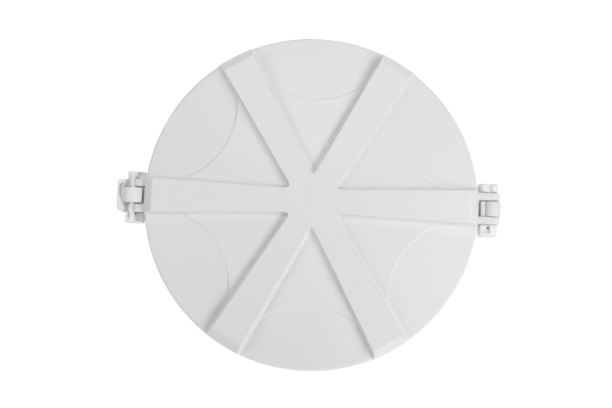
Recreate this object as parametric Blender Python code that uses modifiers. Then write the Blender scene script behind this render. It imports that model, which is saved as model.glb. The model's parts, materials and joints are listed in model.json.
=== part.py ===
"""Hinged lid for a plastic water tank, with the collar that carries it on the tank's neck.

Metres, +Z up. The origin is on the collar's axis, at the face that the collar stands on.
The hinge is on the +X side and the latch on the -X side, both with their pins along Y.
"""

import math

import bmesh
import bpy
from mathutils import Matrix, Vector

# Collar: a sleeve that goes over the tank's neck, with a flange that rests on the neck's edge.
COLLAR_BORE_RADIUS = 0.204
COLLAR_WALL = 0.004
COLLAR_HEIGHT = 0.052
COLLAR_FOOT_WIDTH = 0.003
COLLAR_FOOT_HEIGHT = 0.004
FLANGE_THICKNESS = 0.005
FLANGE_LEDGE = 0.012
FLANGE_OVERHANG = 0.0075
NECK_SEAL_THICKNESS = 0.0027
LID_SEAL_WIDTH = 0.006
LID_SEAL_HEIGHT = 0.0062
SEAL_GROOVE_DEPTH = 0.0025
SEAL_GROOVE_RIM = 0.0057

# Lid: a moulded shell with six raised spokes and a scallop between each two of them.
LID_WALL = 0.0035
SKIRT_STANDOFF = 0.006
SKIRT_OVERLAP = 0.018
PANEL_ABOVE_SEAL = 0.010
PANEL_STEP = 0.0007
PANEL_FALL_PER_METRE = 0.0437
RIM_EDGE_RADIUS = 0.004
RIM_INNER_CHAMFER = 0.001
SCALLOP_CENTRE_BEYOND_RIM = 0.021
SCALLOP_FROM_SPOKE_MIDDLE = 0.016
SPOKE_COUNT = 6
SPOKE_RISE = 0.009
SPOKE_SIDE_RUN_PER_RISE = 0.667
SPOKE_HALF_WIDTH_AT_HUB = 0.0147
SPOKE_WIDENING = 0.0417
SPOKE_NOTCH_RADIUS = 0.005
SPOKE_FOOT_NOTCH_RADIUS = 0.0015
SPOKE_END_INSET = 0.001
SPOKE_END_RUN = 0.007
SPOKE_SKIRT_DEPTH = 0.0072
SPOKE_HOLLOW_OVERCUT = 0.001
SPOKE_HOLLOW_SETBACK = 0.0065
SEAL_RIB_WIDTH = 0.004

# Hinge: the lid's two ears turn about the barrel of a bracket on the collar.
HINGE_AXIS_DROP = 0.002
HINGE_BARREL_STANDOFF = 0.0074
HINGE_EAR_RADIUS = 0.012
HINGE_EAR_THICKNESS = 0.0105
HINGE_BARREL_RADIUS = 0.0126
HINGE_BARREL_LENGTH = 0.0214
HINGE_BLOCK_HALF_HEIGHT = 0.0095
HINGE_HEAD_LENGTH = 0.010
HINGE_HEAD_INBOARD = 0.0165
HINGE_HEAD_OUTBOARD = 0.0105
HINGE_HEAD_ROUND = 0.0045
HEAD_GROOVE_OFFSET = 0.0035
HEAD_GROOVE_RADIUS = 0.0034
HEAD_GROOVE_DEPTH = 0.0022
HINGE_CAP_LENGTH = 0.0170
HINGE_CAP_INBOARD = 0.0175
HINGE_CAP_OUTBOARD = 0.0090
HINGE_CAP_ROUND = 0.0030
HINGE_CAP_END_WALL = 0.003
CAP_RECESS_DEPTH = 0.0035
CAP_RECESS_LENGTH = 0.0101
CAP_RECESS_SIDE_WALL = 0.0018
CAP_RECESS_FRONT_WALL = 0.0014
CAP_HOLE_FROM_AXIS = 0.0052
CAP_HOLE_FROM_FRONT = 0.0045

# Latch: a snap lever on the lid's other two ears, which clips down over a keeper on the collar.
LATCH_AXIS_DROP = 0.002
LATCH_BARREL_STANDOFF = 0.0047
LATCH_EAR_RADIUS = 0.0115
LATCH_EAR_THICKNESS = 0.0102
LATCH_BARREL_RADIUS = 0.0123
LATCH_BARREL_LENGTH = 0.0198
LATCH_SIDE_PLAY = 0.0024
LATCH_SEAT_TOP = 0.0022
LATCH_RAMP_START = 0.0015
LATCH_RAMP_LENGTH = 0.006
LIP_REACH = 0.0205
LIP_THICKNESS = 0.0068
LIP_WIDTH = 0.0438
LIP_RISE = 0.007
LIP_DROP = 0.024
LIP_CORNER_RADIUS = 0.0062
LIP_EDGE_RADIUS = 0.0012
TAIL_THICKNESS = 0.0068
TAIL_BELOW_NOSE = 0.005
TAIL_END_CHAMFER = 0.003
TAIL_LEAD_IN = 0.0015
WEB_SIDE_GAP = 0.0001
WEB_SHOULDER_DROP = 0.017
WEB_HALF_WIDTH_ON_BARREL = 0.004
WEB_BARREL_SINK = 0.0011
CLIP_HALF_HEIGHT = 0.009
CLIP_INBOARD = 0.0165
CLIP_OUTBOARD = 0.0085
UPPER_CLIP_LENGTH = 0.0102
LOWER_CLIP_LENGTH = 0.0157
CLIP_ROUND = 0.0026
UPPER_CLIP_END_WALL = 0.001
LOWER_CLIP_END_WALL = 0.004
UPPER_CLIP_HOLE_WALL = 0.001
LOWER_CLIP_HOLE_WALL = 0.0024

# Pins and fasteners
PIN_RADIUS = 0.0033
PIN_END_CHAMFER = 0.0006
WIRE_HOLE_RADIUS = 0.0011
SCREW_SHANK_RADIUS = 0.0021
SCREW_HEAD_RADIUS = 0.0043
SCREW_HEAD_HEIGHT = 0.0030
SCREW_LENGTH = 0.016
COLLAR_SCREW_COUNT = 6
COLLAR_SCREW_RISE = 0.016

# Saddles: the plates by which the hinge bracket and the keeper sit on the sleeve.
SADDLE_HALF_WIDTH = 0.030
SADDLE_CLEARANCE = 0.002
SADDLE_THICKNESS = 0.006
SADDLE_SCREW_INSET = 0.008
SADDLE_EDGE_RADIUS = 0.0015
HINGE_ARM_TOP_INSET = 0.001
HINGE_ARM_BOTTOM_INSET = 0.004
HINGE_ARM_SLOPE = 0.004
HINGE_ARM_KNEE = 0.009
HINGE_POST_FILLET = 0.006
KEEPER_NOSE_TOP_INSET = 0.002
KEEPER_NOSE_DEPTH = 0.013
KEEPER_NOSE_HALF_WIDTH = 0.0095
KEEPER_NOSE_CHAMFER = 0.003
KEEPER_NOSE_FLAT = 0.00715
KEEPER_GUSSET = 0.004

# Clearances between neighbours, and how far joined shapes run into each other
FIT_GAP = 0.0003
PIN_PLAY = 0.0002
KEEPER_GAP = 0.0004
SKIRT_GAP = 0.0025
EAR_EMBED = 0.0025
ARM_EMBED = 0.002
TAIL_EMBED = 0.001
CUT_MARGIN = 0.002

# Steps round the circle
LARGE_STEPS = 96
MEDIUM_STEPS = 32
SMALL_STEPS = 20
ARC_STEPS = 8

# What follows from the sizes above
COLLAR_OUTER_RADIUS = COLLAR_BORE_RADIUS + COLLAR_WALL
COLLAR_FOOT_RADIUS = COLLAR_OUTER_RADIUS + COLLAR_FOOT_WIDTH
COLLAR_SCREW_HEIGHT = COLLAR_FOOT_HEIGHT + COLLAR_SCREW_RISE
FLANGE_INNER_RADIUS = COLLAR_BORE_RADIUS - FLANGE_LEDGE
FLANGE_OUTER_RADIUS = COLLAR_OUTER_RADIUS + FLANGE_OVERHANG
FLANGE_BOTTOM = COLLAR_HEIGHT - FLANGE_THICKNESS
GROOVE_OUTER_RADIUS = FLANGE_OUTER_RADIUS - SEAL_GROOVE_RIM
GROOVE_INNER_RADIUS = GROOVE_OUTER_RADIUS - LID_SEAL_WIDTH - 2 * FIT_GAP
GROOVE_FLOOR = COLLAR_HEIGHT - SEAL_GROOVE_DEPTH
LID_SEAL_RADIUS = (GROOVE_INNER_RADIUS + GROOVE_OUTER_RADIUS) / 2
LID_SEAL_BOTTOM = GROOVE_FLOOR + FIT_GAP
LID_SEAL_TOP = LID_SEAL_BOTTOM + LID_SEAL_HEIGHT
SEAL_RIB_BOTTOM = LID_SEAL_TOP + FIT_GAP
SEAL_RIB_INNER = LID_SEAL_RADIUS - SEAL_RIB_WIDTH / 2
SEAL_RIB_OUTER = LID_SEAL_RADIUS + SEAL_RIB_WIDTH / 2
LID_RADIUS = FLANGE_OUTER_RADIUS + SKIRT_STANDOFF + LID_WALL
SKIRT_BOTTOM = COLLAR_HEIGHT - SKIRT_OVERLAP
PANEL_TOP = LID_SEAL_TOP + PANEL_ABOVE_SEAL
HALF_SECTOR = math.pi / SPOKE_COUNT
SCALLOP_CENTRE = LID_RADIUS + SCALLOP_CENTRE_BEYOND_RIM
SCALLOP_RADIUS = SCALLOP_CENTRE * math.sin(HALF_SECTOR) - SCALLOP_FROM_SPOKE_MIDDLE
FLAT_RADIUS = SCALLOP_CENTRE - SCALLOP_RADIUS
FLOOR_TOP = PANEL_TOP - PANEL_STEP
RIM_SHOULDER_RADIUS = LID_RADIUS - RIM_EDGE_RADIUS
RIM_SHOULDER_TOP = FLOOR_TOP - (RIM_SHOULDER_RADIUS - FLAT_RADIUS) * PANEL_FALL_PER_METRE
SPOKE_TOP = PANEL_TOP + SPOKE_RISE
SPOKE_BOTTOM = PANEL_TOP - SPOKE_SKIRT_DEPTH
SPOKE_END_FOOT = LID_RADIUS - SPOKE_END_INSET
SPOKE_END_TOP = SPOKE_END_FOOT - SPOKE_END_RUN
SPOKE_HOLLOW_END = SEAL_RIB_INNER - SPOKE_HOLLOW_SETBACK
PIN_BORE_RADIUS = PIN_RADIUS + PIN_PLAY
HINGE_X = LID_RADIUS + HINGE_BARREL_STANDOFF + HINGE_BARREL_RADIUS
HINGE_Z = COLLAR_HEIGHT - HINGE_AXIS_DROP
HINGE_EAR_INNER = HINGE_BARREL_LENGTH / 2 + FIT_GAP
HINGE_EAR_OUTER = HINGE_EAR_INNER + HINGE_EAR_THICKNESS
HINGE_BLOCK_TOP = HINGE_Z + HINGE_BLOCK_HALF_HEIGHT
HINGE_BLOCK_BOTTOM = HINGE_Z - HINGE_BLOCK_HALF_HEIGHT
LATCH_X = -LID_RADIUS - LATCH_BARREL_STANDOFF - LATCH_BARREL_RADIUS
LATCH_Z = COLLAR_HEIGHT - LATCH_AXIS_DROP
LATCH_EAR_INNER = LATCH_BARREL_LENGTH / 2 + LATCH_SIDE_PLAY
LATCH_EAR_OUTER = LATCH_EAR_INNER + LATCH_EAR_THICKNESS
CLIP_TOP = LATCH_Z + LATCH_SEAT_TOP
CLIP_BOTTOM = LATCH_Z - CLIP_HALF_HEIGHT
SADDLE_FACE = COLLAR_OUTER_RADIUS + SADDLE_THICKNESS
SADDLE_BOTTOM = COLLAR_FOOT_HEIGHT + SADDLE_CLEARANCE
SADDLE_TOP = SKIRT_BOTTOM - SADDLE_CLEARANCE
SADDLE_MIDDLE_HEIGHT = (SADDLE_BOTTOM + SADDLE_TOP) / 2
SADDLE_SCREW_OFFSET = SADDLE_HALF_WIDTH - SADDLE_SCREW_INSET
HINGE_ARM_TOP = SADDLE_TOP - HINGE_ARM_TOP_INSET
HINGE_ARM_BOTTOM = SADDLE_BOTTOM + HINGE_ARM_BOTTOM_INSET
KEEPER_NOSE_TOP = SADDLE_TOP - KEEPER_NOSE_TOP_INSET
KEEPER_NOSE_BOTTOM = KEEPER_NOSE_TOP - KEEPER_NOSE_DEPTH
LIP_INNER_X = LATCH_X - LIP_REACH + LIP_THICKNESS
TAIL_OUTER_X = LIP_INNER_X - TAIL_EMBED
TAIL_INNER_X = TAIL_OUTER_X + TAIL_THICKNESS
TAIL_BOTTOM = KEEPER_NOSE_BOTTOM - TAIL_BELOW_NOSE
KEEPER_NOSE_X = TAIL_INNER_X + KEEPER_GAP


def clear_scene():
    for obj in list(bpy.data.objects):
        bpy.data.objects.remove(obj)


def make_collection(name):
    collection = bpy.data.collections.new(name)
    bpy.context.scene.collection.children.link(collection)
    return collection


def make_material(name, colour, roughness, metallic=0.0):
    material = bpy.data.materials.new(name)
    material.use_nodes = True
    shader = material.node_tree.nodes["Principled BSDF"]
    shader.inputs["Base Color"].default_value = (*colour, 1.0)
    shader.inputs["Roughness"].default_value = roughness
    shader.inputs["Metallic"].default_value = metallic
    return material


clear_scene()
PARTS = make_collection("tank_lid")
CUTTERS = make_collection("cutters")
LID_PLASTIC = make_material("lid_plastic", (0.80, 0.80, 0.80), 0.42)
COLLAR_PLASTIC = make_material("collar_plastic", (0.78, 0.78, 0.78), 0.46)
LATCH_PLASTIC = make_material("latch_plastic", (0.82, 0.82, 0.82), 0.36)
PIN_PLASTIC = make_material("pin_plastic", (0.84, 0.84, 0.84), 0.32)
SEAL_RUBBER = make_material("seal_rubber", (0.05, 0.05, 0.05), 0.75)
SCREW_STEEL = make_material("screw_steel", (0.62, 0.62, 0.60), 0.30, 1.0)


def add_object(name, mesh, collection, material=None):
    obj = bpy.data.objects.new(name, mesh)
    collection.objects.link(obj)
    if material is not None:
        mesh.materials.append(material)
    if collection is CUTTERS:
        obj.hide_render = True
        obj.display_type = "WIRE"
    return obj


def object_from_bmesh(name, bm, collection, material=None):
    mesh = bpy.data.meshes.new(name)
    bm.to_mesh(mesh)
    bm.free()
    return add_object(name, mesh, collection, material)


def shade_round(obj, degrees=35):
    obj.data.shade_smooth()
    obj.data.set_sharp_from_angle(angle=math.radians(degrees))


def turned(name, profile, steps, collection, material=None, closed=True):
    """A turned shape: the profile (radius, height) runs down the outer side, top to bottom."""
    bm = bmesh.new()
    verts = [bm.verts.new((radius, 0.0, height)) for radius, height in profile]
    for first, second in zip(verts, verts[1:]):
        bm.edges.new((first, second))
    if closed:
        bm.edges.new((verts[-1], verts[0]))
    obj = object_from_bmesh(name, bm, collection, material)
    screw = obj.modifiers.new("turn", "SCREW")
    screw.steps = steps
    screw.render_steps = steps
    screw.use_merge_vertices = True
    screw.merge_threshold = 0.00005
    return obj


def box(name, low, high, collection, material=None):
    bm = bmesh.new()
    bmesh.ops.create_cube(bm, size=1.0)
    low, high = Vector(low), Vector(high)
    size = high - low
    bmesh.ops.scale(bm, vec=size, verts=bm.verts)
    bmesh.ops.translate(bm, vec=(low + high) / 2, verts=bm.verts)
    return object_from_bmesh(name, bm, collection, material)


def rod_y(name, x, z, radius, low_y, high_y, steps, collection, material=None):
    """A cylinder along Y, from low_y to high_y."""
    bm = bmesh.new()
    bmesh.ops.create_cone(
        bm, cap_ends=True, segments=steps, radius1=radius, radius2=radius, depth=high_y - low_y
    )
    bmesh.ops.rotate(bm, matrix=Matrix.Rotation(math.radians(90), 3, "X"), verts=bm.verts)
    bmesh.ops.translate(bm, vec=(x, (low_y + high_y) / 2, z), verts=bm.verts)
    return object_from_bmesh(name, bm, collection, material)


def upright_rod(name, x, y, radius, low_z, high_z, steps, collection):
    bm = bmesh.new()
    bmesh.ops.create_cone(
        bm, cap_ends=True, segments=steps, radius1=radius, radius2=radius, depth=high_z - low_z
    )
    bmesh.ops.translate(bm, vec=(x, y, (low_z + high_z) / 2), verts=bm.verts)
    return object_from_bmesh(name, bm, collection)


def plate(name, outline, thickness, place, collection, material=None):
    """A flat outline made a solid of the given thickness, centred on its own plane, then placed."""
    curve = bpy.data.curves.new(name + "_outline", "CURVE")
    curve.dimensions = "2D"
    curve.fill_mode = "BOTH"
    curve.extrude = thickness / 2
    spline = curve.splines.new("POLY")
    spline.points.add(len(outline) - 1)
    for point, (u, v) in zip(spline.points, outline):
        point.co = (u, v, 0.0, 1.0)
    spline.use_cyclic_u = True
    holder = bpy.data.objects.new(name + "_outline", curve)
    PARTS.objects.link(holder)
    bpy.context.view_layer.update()
    evaluated = holder.evaluated_get(bpy.context.evaluated_depsgraph_get())
    mesh = bpy.data.meshes.new_from_object(evaluated)
    bpy.data.objects.remove(holder)
    bm = bmesh.new()
    bm.from_mesh(mesh)
    bpy.data.meshes.remove(mesh)
    bmesh.ops.remove_doubles(bm, verts=bm.verts, dist=0.000001)
    bmesh.ops.transform(bm, matrix=place, verts=bm.verts)
    bmesh.ops.recalc_face_normals(bm, faces=bm.faces)
    return object_from_bmesh(name, bm, collection, material)


def in_side_view(centre_y):
    """Places an outline drawn as (x, z) in the vertical plane at centre_y."""
    return Matrix.Translation((0.0, centre_y, 0.0)) @ Matrix.Rotation(math.radians(90), 4, "X")


def arc(centre, radius, start_degrees, end_degrees, steps=ARC_STEPS):
    points = []
    for i in range(steps + 1):
        angle = math.radians(start_degrees + (end_degrees - start_degrees) * i / steps)
        points.append((centre[0] + radius * math.cos(angle), centre[1] + radius * math.sin(angle)))
    return points


def boolean(target, tool, operation):
    modifier = target.modifiers.new(tool.name, "BOOLEAN")
    modifier.operation = operation
    modifier.object = tool
    modifier.solver = "EXACT"
    return modifier


def join(target, tool):
    return boolean(target, tool, "UNION")


def cut(target, tool):
    return boolean(target, tool, "DIFFERENCE")


def soften(obj, width, segments=1, degrees=50):
    modifier = obj.modifiers.new("soft_edges", "BEVEL")
    modifier.width = width
    modifier.segments = segments
    modifier.limit_method = "ANGLE"
    modifier.angle_limit = math.radians(degrees)
    return modifier


def turned_about_z(points, degrees):
    angle = math.radians(degrees)
    c, s = math.cos(angle), math.sin(angle)
    return [(x * c - y * s, x * s + y * c) for x, y in points]


def star_outline(side_offset, end_x, notch_radius):
    """The spokes' outline at one level: tapering arms that meet in notches with a round bottom."""
    taper = math.atan(SPOKE_WIDENING)
    half_at_hub = SPOKE_HALF_WIDTH_AT_HUB + side_offset
    half_at_end = half_at_hub + SPOKE_WIDENING * end_x
    reach = (notch_radius / math.cos(taper) + half_at_hub) / (
        math.sin(HALF_SECTOR) - SPOKE_WIDENING * math.cos(HALF_SECTOR)
    )
    centre = (reach * math.cos(HALF_SECTOR), reach * math.sin(HALF_SECTOR))
    start = -90.0 + math.degrees(taper)
    end = -360.0 + 2 * math.degrees(HALF_SECTOR) - start
    one_arm = [(end_x, -half_at_end), (end_x, half_at_end)]
    one_arm += arc(centre, notch_radius, start, end)
    outline = []
    for i in range(SPOKE_COUNT):
        outline += turned_about_z(one_arm, 360 / SPOKE_COUNT * i)
    return outline


def star_solid(name, top, bottom, top_outline, bottom_outline):
    """The spokes' body: the outline at the bottom lofted to the outline at the top."""
    bm = bmesh.new()
    loops = []
    for outline, height in ((bottom_outline, bottom), (top_outline, top)):
        verts = [bm.verts.new((x, y, height)) for x, y in outline]
        edges = [bm.edges.new((verts[i - 1], verts[i])) for i in range(len(verts))]
        bm.faces.new(verts)
        loops.append(edges)
    bmesh.ops.bridge_loops(bm, edges=loops[0] + loops[1])
    bmesh.ops.recalc_face_normals(bm, faces=bm.faces)
    return object_from_bmesh(name, bm, CUTTERS)


def plateau_outline():
    """The flat middle of the panel, bounded by the scallops' arcs, which end inside the spokes."""
    reach = 90 - math.degrees(HALF_SECTOR)
    outline = []
    for i in range(SPOKE_COUNT):
        scallop = arc((SCALLOP_CENTRE, 0.0), SCALLOP_RADIUS, 180 - reach, 180 + reach, 3 * ARC_STEPS)
        scallop.reverse()
        outline += turned_about_z(scallop, 360 / SPOKE_COUNT * (i + 0.5))
    return outline


def pin_bore(name, x, z, low_y, high_y):
    """The round seat of either pin, through whatever the pin holds."""
    return rod_y(name, x, z, PIN_BORE_RADIUS, low_y, high_y, SMALL_STEPS, CUTTERS)


def build_lid():
    rim_arc = arc(
        (RIM_SHOULDER_RADIUS, RIM_SHOULDER_TOP - RIM_EDGE_RADIUS), RIM_EDGE_RADIUS, 90, 0, 4
    )
    under = [
        (LID_RADIUS - LID_WALL, SKIRT_BOTTOM),
        (LID_RADIUS - LID_WALL, RIM_SHOULDER_TOP - LID_WALL - RIM_INNER_CHAMFER),
        (RIM_SHOULDER_RADIUS - RIM_INNER_CHAMFER, RIM_SHOULDER_TOP - LID_WALL),
        (FLAT_RADIUS, FLOOR_TOP - LID_WALL),
        (0.0, FLOOR_TOP - LID_WALL),
    ]
    profile = [(0.0, FLOOR_TOP), (FLAT_RADIUS, FLOOR_TOP)] + rim_arc + [(LID_RADIUS, SKIRT_BOTTOM)] + under
    lid = turned("lid_shell", profile, LARGE_STEPS, PARTS, LID_PLASTIC, closed=False)

    plateau_thickness = PANEL_STEP + LID_WALL / 2
    plateau = plate(
        "plateau",
        plateau_outline(),
        plateau_thickness,
        Matrix.Translation((0, 0, PANEL_TOP - plateau_thickness / 2)),
        CUTTERS,
    )
    join(lid, plateau)

    side_run = (SPOKE_TOP - SPOKE_BOTTOM) * SPOKE_SIDE_RUN_PER_RISE
    spokes = star_solid(
        "spokes",
        SPOKE_TOP,
        SPOKE_BOTTOM,
        star_outline(0.0, SPOKE_END_TOP, SPOKE_NOTCH_RADIUS),
        star_outline(side_run, SPOKE_END_FOOT, SPOKE_FOOT_NOTCH_RADIUS),
    )
    join(lid, spokes)

    wall_across = LID_WALL * math.hypot(1.0, SPOKE_SIDE_RUN_PER_RISE)
    hollow_top = SPOKE_TOP - LID_WALL
    hollow_bottom = SPOKE_BOTTOM - SPOKE_HOLLOW_OVERCUT
    hollow = star_solid(
        "spoke_hollow",
        hollow_top,
        hollow_bottom,
        star_outline(
            LID_WALL * SPOKE_SIDE_RUN_PER_RISE - wall_across, SPOKE_HOLLOW_END, SPOKE_NOTCH_RADIUS
        ),
        star_outline(
            (SPOKE_TOP - hollow_bottom) * SPOKE_SIDE_RUN_PER_RISE - wall_across,
            SPOKE_HOLLOW_END,
            SPOKE_FOOT_NOTCH_RADIUS,
        ),
    )
    cut(lid, hollow)

    rib_top = RIM_SHOULDER_TOP - LID_WALL / 2
    rib_section = [
        (SEAL_RIB_INNER, rib_top),
        (SEAL_RIB_OUTER, rib_top),
        (SEAL_RIB_OUTER, SEAL_RIB_BOTTOM),
        (SEAL_RIB_INNER, SEAL_RIB_BOTTOM),
    ]
    join(lid, turned("seal_rib", rib_section, LARGE_STEPS, CUTTERS))

    for side, sign in (("upper", 1), ("lower", -1)):
        middle = sign * (HINGE_EAR_INNER + HINGE_EAR_OUTER) / 2
        outline = [
            (LID_RADIUS - EAR_EMBED, HINGE_Z + HINGE_EAR_RADIUS),
            (LID_RADIUS - EAR_EMBED, HINGE_Z - HINGE_EAR_RADIUS),
        ] + arc((HINGE_X, HINGE_Z), HINGE_EAR_RADIUS, -90, 90, 12)
        ear = plate(
            "hinge_ear_" + side, outline, HINGE_EAR_THICKNESS, in_side_view(middle), CUTTERS
        )
        join(lid, ear)
        middle = sign * (LATCH_EAR_INNER + LATCH_EAR_OUTER) / 2
        rise = math.degrees(math.asin(LATCH_SEAT_TOP / LATCH_EAR_RADIUS))
        root_x = -LID_RADIUS + EAR_EMBED
        ramp_x = -LID_RADIUS - LATCH_RAMP_START
        outline = [
            (root_x, LATCH_Z - LATCH_EAR_RADIUS),
            (root_x, LATCH_Z + LATCH_EAR_RADIUS),
            (ramp_x, LATCH_Z + LATCH_EAR_RADIUS),
            (ramp_x - LATCH_RAMP_LENGTH, CLIP_TOP),
        ] + arc((LATCH_X, LATCH_Z), LATCH_EAR_RADIUS, 180 - rise, 270, 10)
        ear = plate(
            "latch_ear_" + side, outline, LATCH_EAR_THICKNESS, in_side_view(middle), CUTTERS
        )
        join(lid, ear)
    reach = HINGE_EAR_OUTER + CUT_MARGIN
    cut(lid, pin_bore("hinge_ear_bore", HINGE_X, HINGE_Z, -reach, reach))
    reach = LATCH_EAR_OUTER + CUT_MARGIN
    cut(lid, pin_bore("latch_ear_seat", LATCH_X, LATCH_Z, -reach, reach))
    shade_round(lid)


def build_collar():
    profile = [
        (FLANGE_INNER_RADIUS, COLLAR_HEIGHT),
        (GROOVE_INNER_RADIUS, COLLAR_HEIGHT),
        (GROOVE_INNER_RADIUS, GROOVE_FLOOR),
        (GROOVE_OUTER_RADIUS, GROOVE_FLOOR),
        (GROOVE_OUTER_RADIUS, COLLAR_HEIGHT),
        (FLANGE_OUTER_RADIUS, COLLAR_HEIGHT),
        (FLANGE_OUTER_RADIUS, FLANGE_BOTTOM),
        (COLLAR_OUTER_RADIUS, FLANGE_BOTTOM),
        (COLLAR_OUTER_RADIUS, COLLAR_FOOT_HEIGHT),
        (COLLAR_FOOT_RADIUS, COLLAR_FOOT_HEIGHT),
        (COLLAR_FOOT_RADIUS, 0.0),
        (COLLAR_BORE_RADIUS, 0.0),
        (COLLAR_BORE_RADIUS, FLANGE_BOTTOM),
        (FLANGE_INNER_RADIUS, FLANGE_BOTTOM),
    ]
    collar = turned("collar_ring", profile, LARGE_STEPS, PARTS, COLLAR_PLASTIC)
    for number, place in enumerate(collar_screw_places(), 1):
        cut(collar, screw_hole("collar_screw_hole_%d" % number, place))
    for side, sign in (("hinge", 1), ("keeper", -1)):
        for number, place in enumerate(saddle_screw_places(sign), 1):
            cut(collar, screw_hole("%s_hole_%d" % (side, number), place))
    shade_round(collar)

    inner = FLANGE_INNER_RADIUS + FIT_GAP
    outer = COLLAR_BORE_RADIUS - FIT_GAP
    top = FLANGE_BOTTOM - FIT_GAP
    bottom = top - NECK_SEAL_THICKNESS
    seal_section = [(inner, top), (outer, top), (outer, bottom), (inner, bottom)]
    shade_round(turned("neck_seal", seal_section, LARGE_STEPS, PARTS, SEAL_RUBBER))

    inner = LID_SEAL_RADIUS - LID_SEAL_WIDTH / 2
    outer = LID_SEAL_RADIUS + LID_SEAL_WIDTH / 2
    shoulder = LID_SEAL_TOP - LID_SEAL_WIDTH / 4
    seal_section = [
        (LID_SEAL_RADIUS - LID_SEAL_WIDTH / 4, LID_SEAL_TOP),
        (LID_SEAL_RADIUS + LID_SEAL_WIDTH / 4, LID_SEAL_TOP),
        (outer, shoulder),
        (outer, LID_SEAL_BOTTOM),
        (inner, LID_SEAL_BOTTOM),
        (inner, shoulder),
    ]
    shade_round(turned("lid_seal", seal_section, LARGE_STEPS, PARTS, SEAL_RUBBER))


def collar_screw_places():
    """Screw seats round the sleeve, halfway between the hinge and the latch sides."""
    places = []
    step = 360 / COLLAR_SCREW_COUNT
    for i in range(COLLAR_SCREW_COUNT):
        angle = Matrix.Rotation(math.radians(step * (i + 0.5)), 4, "Z")
        seat = Matrix.Translation((COLLAR_OUTER_RADIUS + FIT_GAP, 0.0, COLLAR_SCREW_HEIGHT))
        places.append(angle @ seat @ Matrix.Rotation(math.radians(90), 4, "Y"))
    return places


def saddle_screw_places(sign):
    """Screw seats on the flat face of a saddle, at +X for sign 1 and at -X for sign -1."""
    half_turn = Matrix.Rotation(0.0 if sign > 0 else math.pi, 4, "Z")
    places = []
    for y in (SADDLE_SCREW_OFFSET, -SADDLE_SCREW_OFFSET):
        seat = Matrix.Translation((SADDLE_FACE + FIT_GAP, y, SADDLE_MIDDLE_HEIGHT))
        places.append(half_turn @ seat @ Matrix.Rotation(math.radians(90), 4, "Y"))
    return places


def screw_hole(name, place):
    """A clearance hole along a screw's shank, through whatever the screw holds."""
    bm = bmesh.new()
    radius = SCREW_SHANK_RADIUS + FIT_GAP
    bmesh.ops.create_cone(
        bm, cap_ends=True, segments=12, radius1=radius, radius2=radius, depth=2 * SCREW_LENGTH
    )
    bmesh.ops.transform(bm, matrix=place, verts=bm.verts)
    return object_from_bmesh(name, bm, CUTTERS)


def build_screw(name, place, length):
    """A pan-head self-tapping screw, turned about its own axis with its head seated at the place."""
    profile = [
        (0.0, SCREW_HEAD_HEIGHT),
        (SCREW_HEAD_RADIUS * 0.55, SCREW_HEAD_HEIGHT * 0.93),
        (SCREW_HEAD_RADIUS * 0.9, SCREW_HEAD_HEIGHT * 0.6),
        (SCREW_HEAD_RADIUS, SCREW_HEAD_HEIGHT * 0.25),
        (SCREW_HEAD_RADIUS, 0.0),
        (SCREW_SHANK_RADIUS, 0.0),
        (SCREW_SHANK_RADIUS, -length + 2 * SCREW_SHANK_RADIUS),
        (0.0, -length),
    ]
    screw = turned(name, profile, 12, PARTS, SCREW_STEEL, closed=False)
    screw.matrix_world = place
    shade_round(screw)
    return screw


def build_screws():
    for number, place in enumerate(collar_screw_places(), 1):
        build_screw("collar_screw_%d" % number, place, SCREW_LENGTH)
    for number, place in enumerate(saddle_screw_places(1), 1):
        build_screw("hinge_bracket_screw_%d" % number, place, SCREW_LENGTH + SADDLE_THICKNESS)
    for number, place in enumerate(saddle_screw_places(-1), 1):
        build_screw("keeper_screw_%d" % number, place, SCREW_LENGTH + SADDLE_THICKNESS)


def saddle(name, sign):
    """A plate with rounded edges that is hollowed at the back to sit on the sleeve."""
    near = math.sqrt(COLLAR_OUTER_RADIUS**2 - SADDLE_HALF_WIDTH**2) - SADDLE_EDGE_RADIUS
    low_x, high_x = sorted((sign * near, sign * SADDLE_FACE))
    body = box(
        name,
        (low_x, -SADDLE_HALF_WIDTH, SADDLE_BOTTOM),
        (high_x, SADDLE_HALF_WIDTH, SADDLE_TOP),
        PARTS,
        COLLAR_PLASTIC,
    )
    soften(body, SADDLE_EDGE_RADIUS, 2)
    return body


def seat_on_sleeve(body, sign):
    radius = COLLAR_OUTER_RADIUS + FIT_GAP
    top = SADDLE_TOP + CUT_MARGIN
    bottom = SADDLE_BOTTOM - CUT_MARGIN
    section = [(0.0, top), (radius, top), (radius, bottom), (0.0, bottom)]
    cut(body, turned(body.name + "_sleeve", section, LARGE_STEPS, CUTTERS, closed=False))
    for number, place in enumerate(saddle_screw_places(sign), 1):
        cut(body, screw_hole("%s_screw_hole_%d" % (body.name, number), place))


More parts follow.
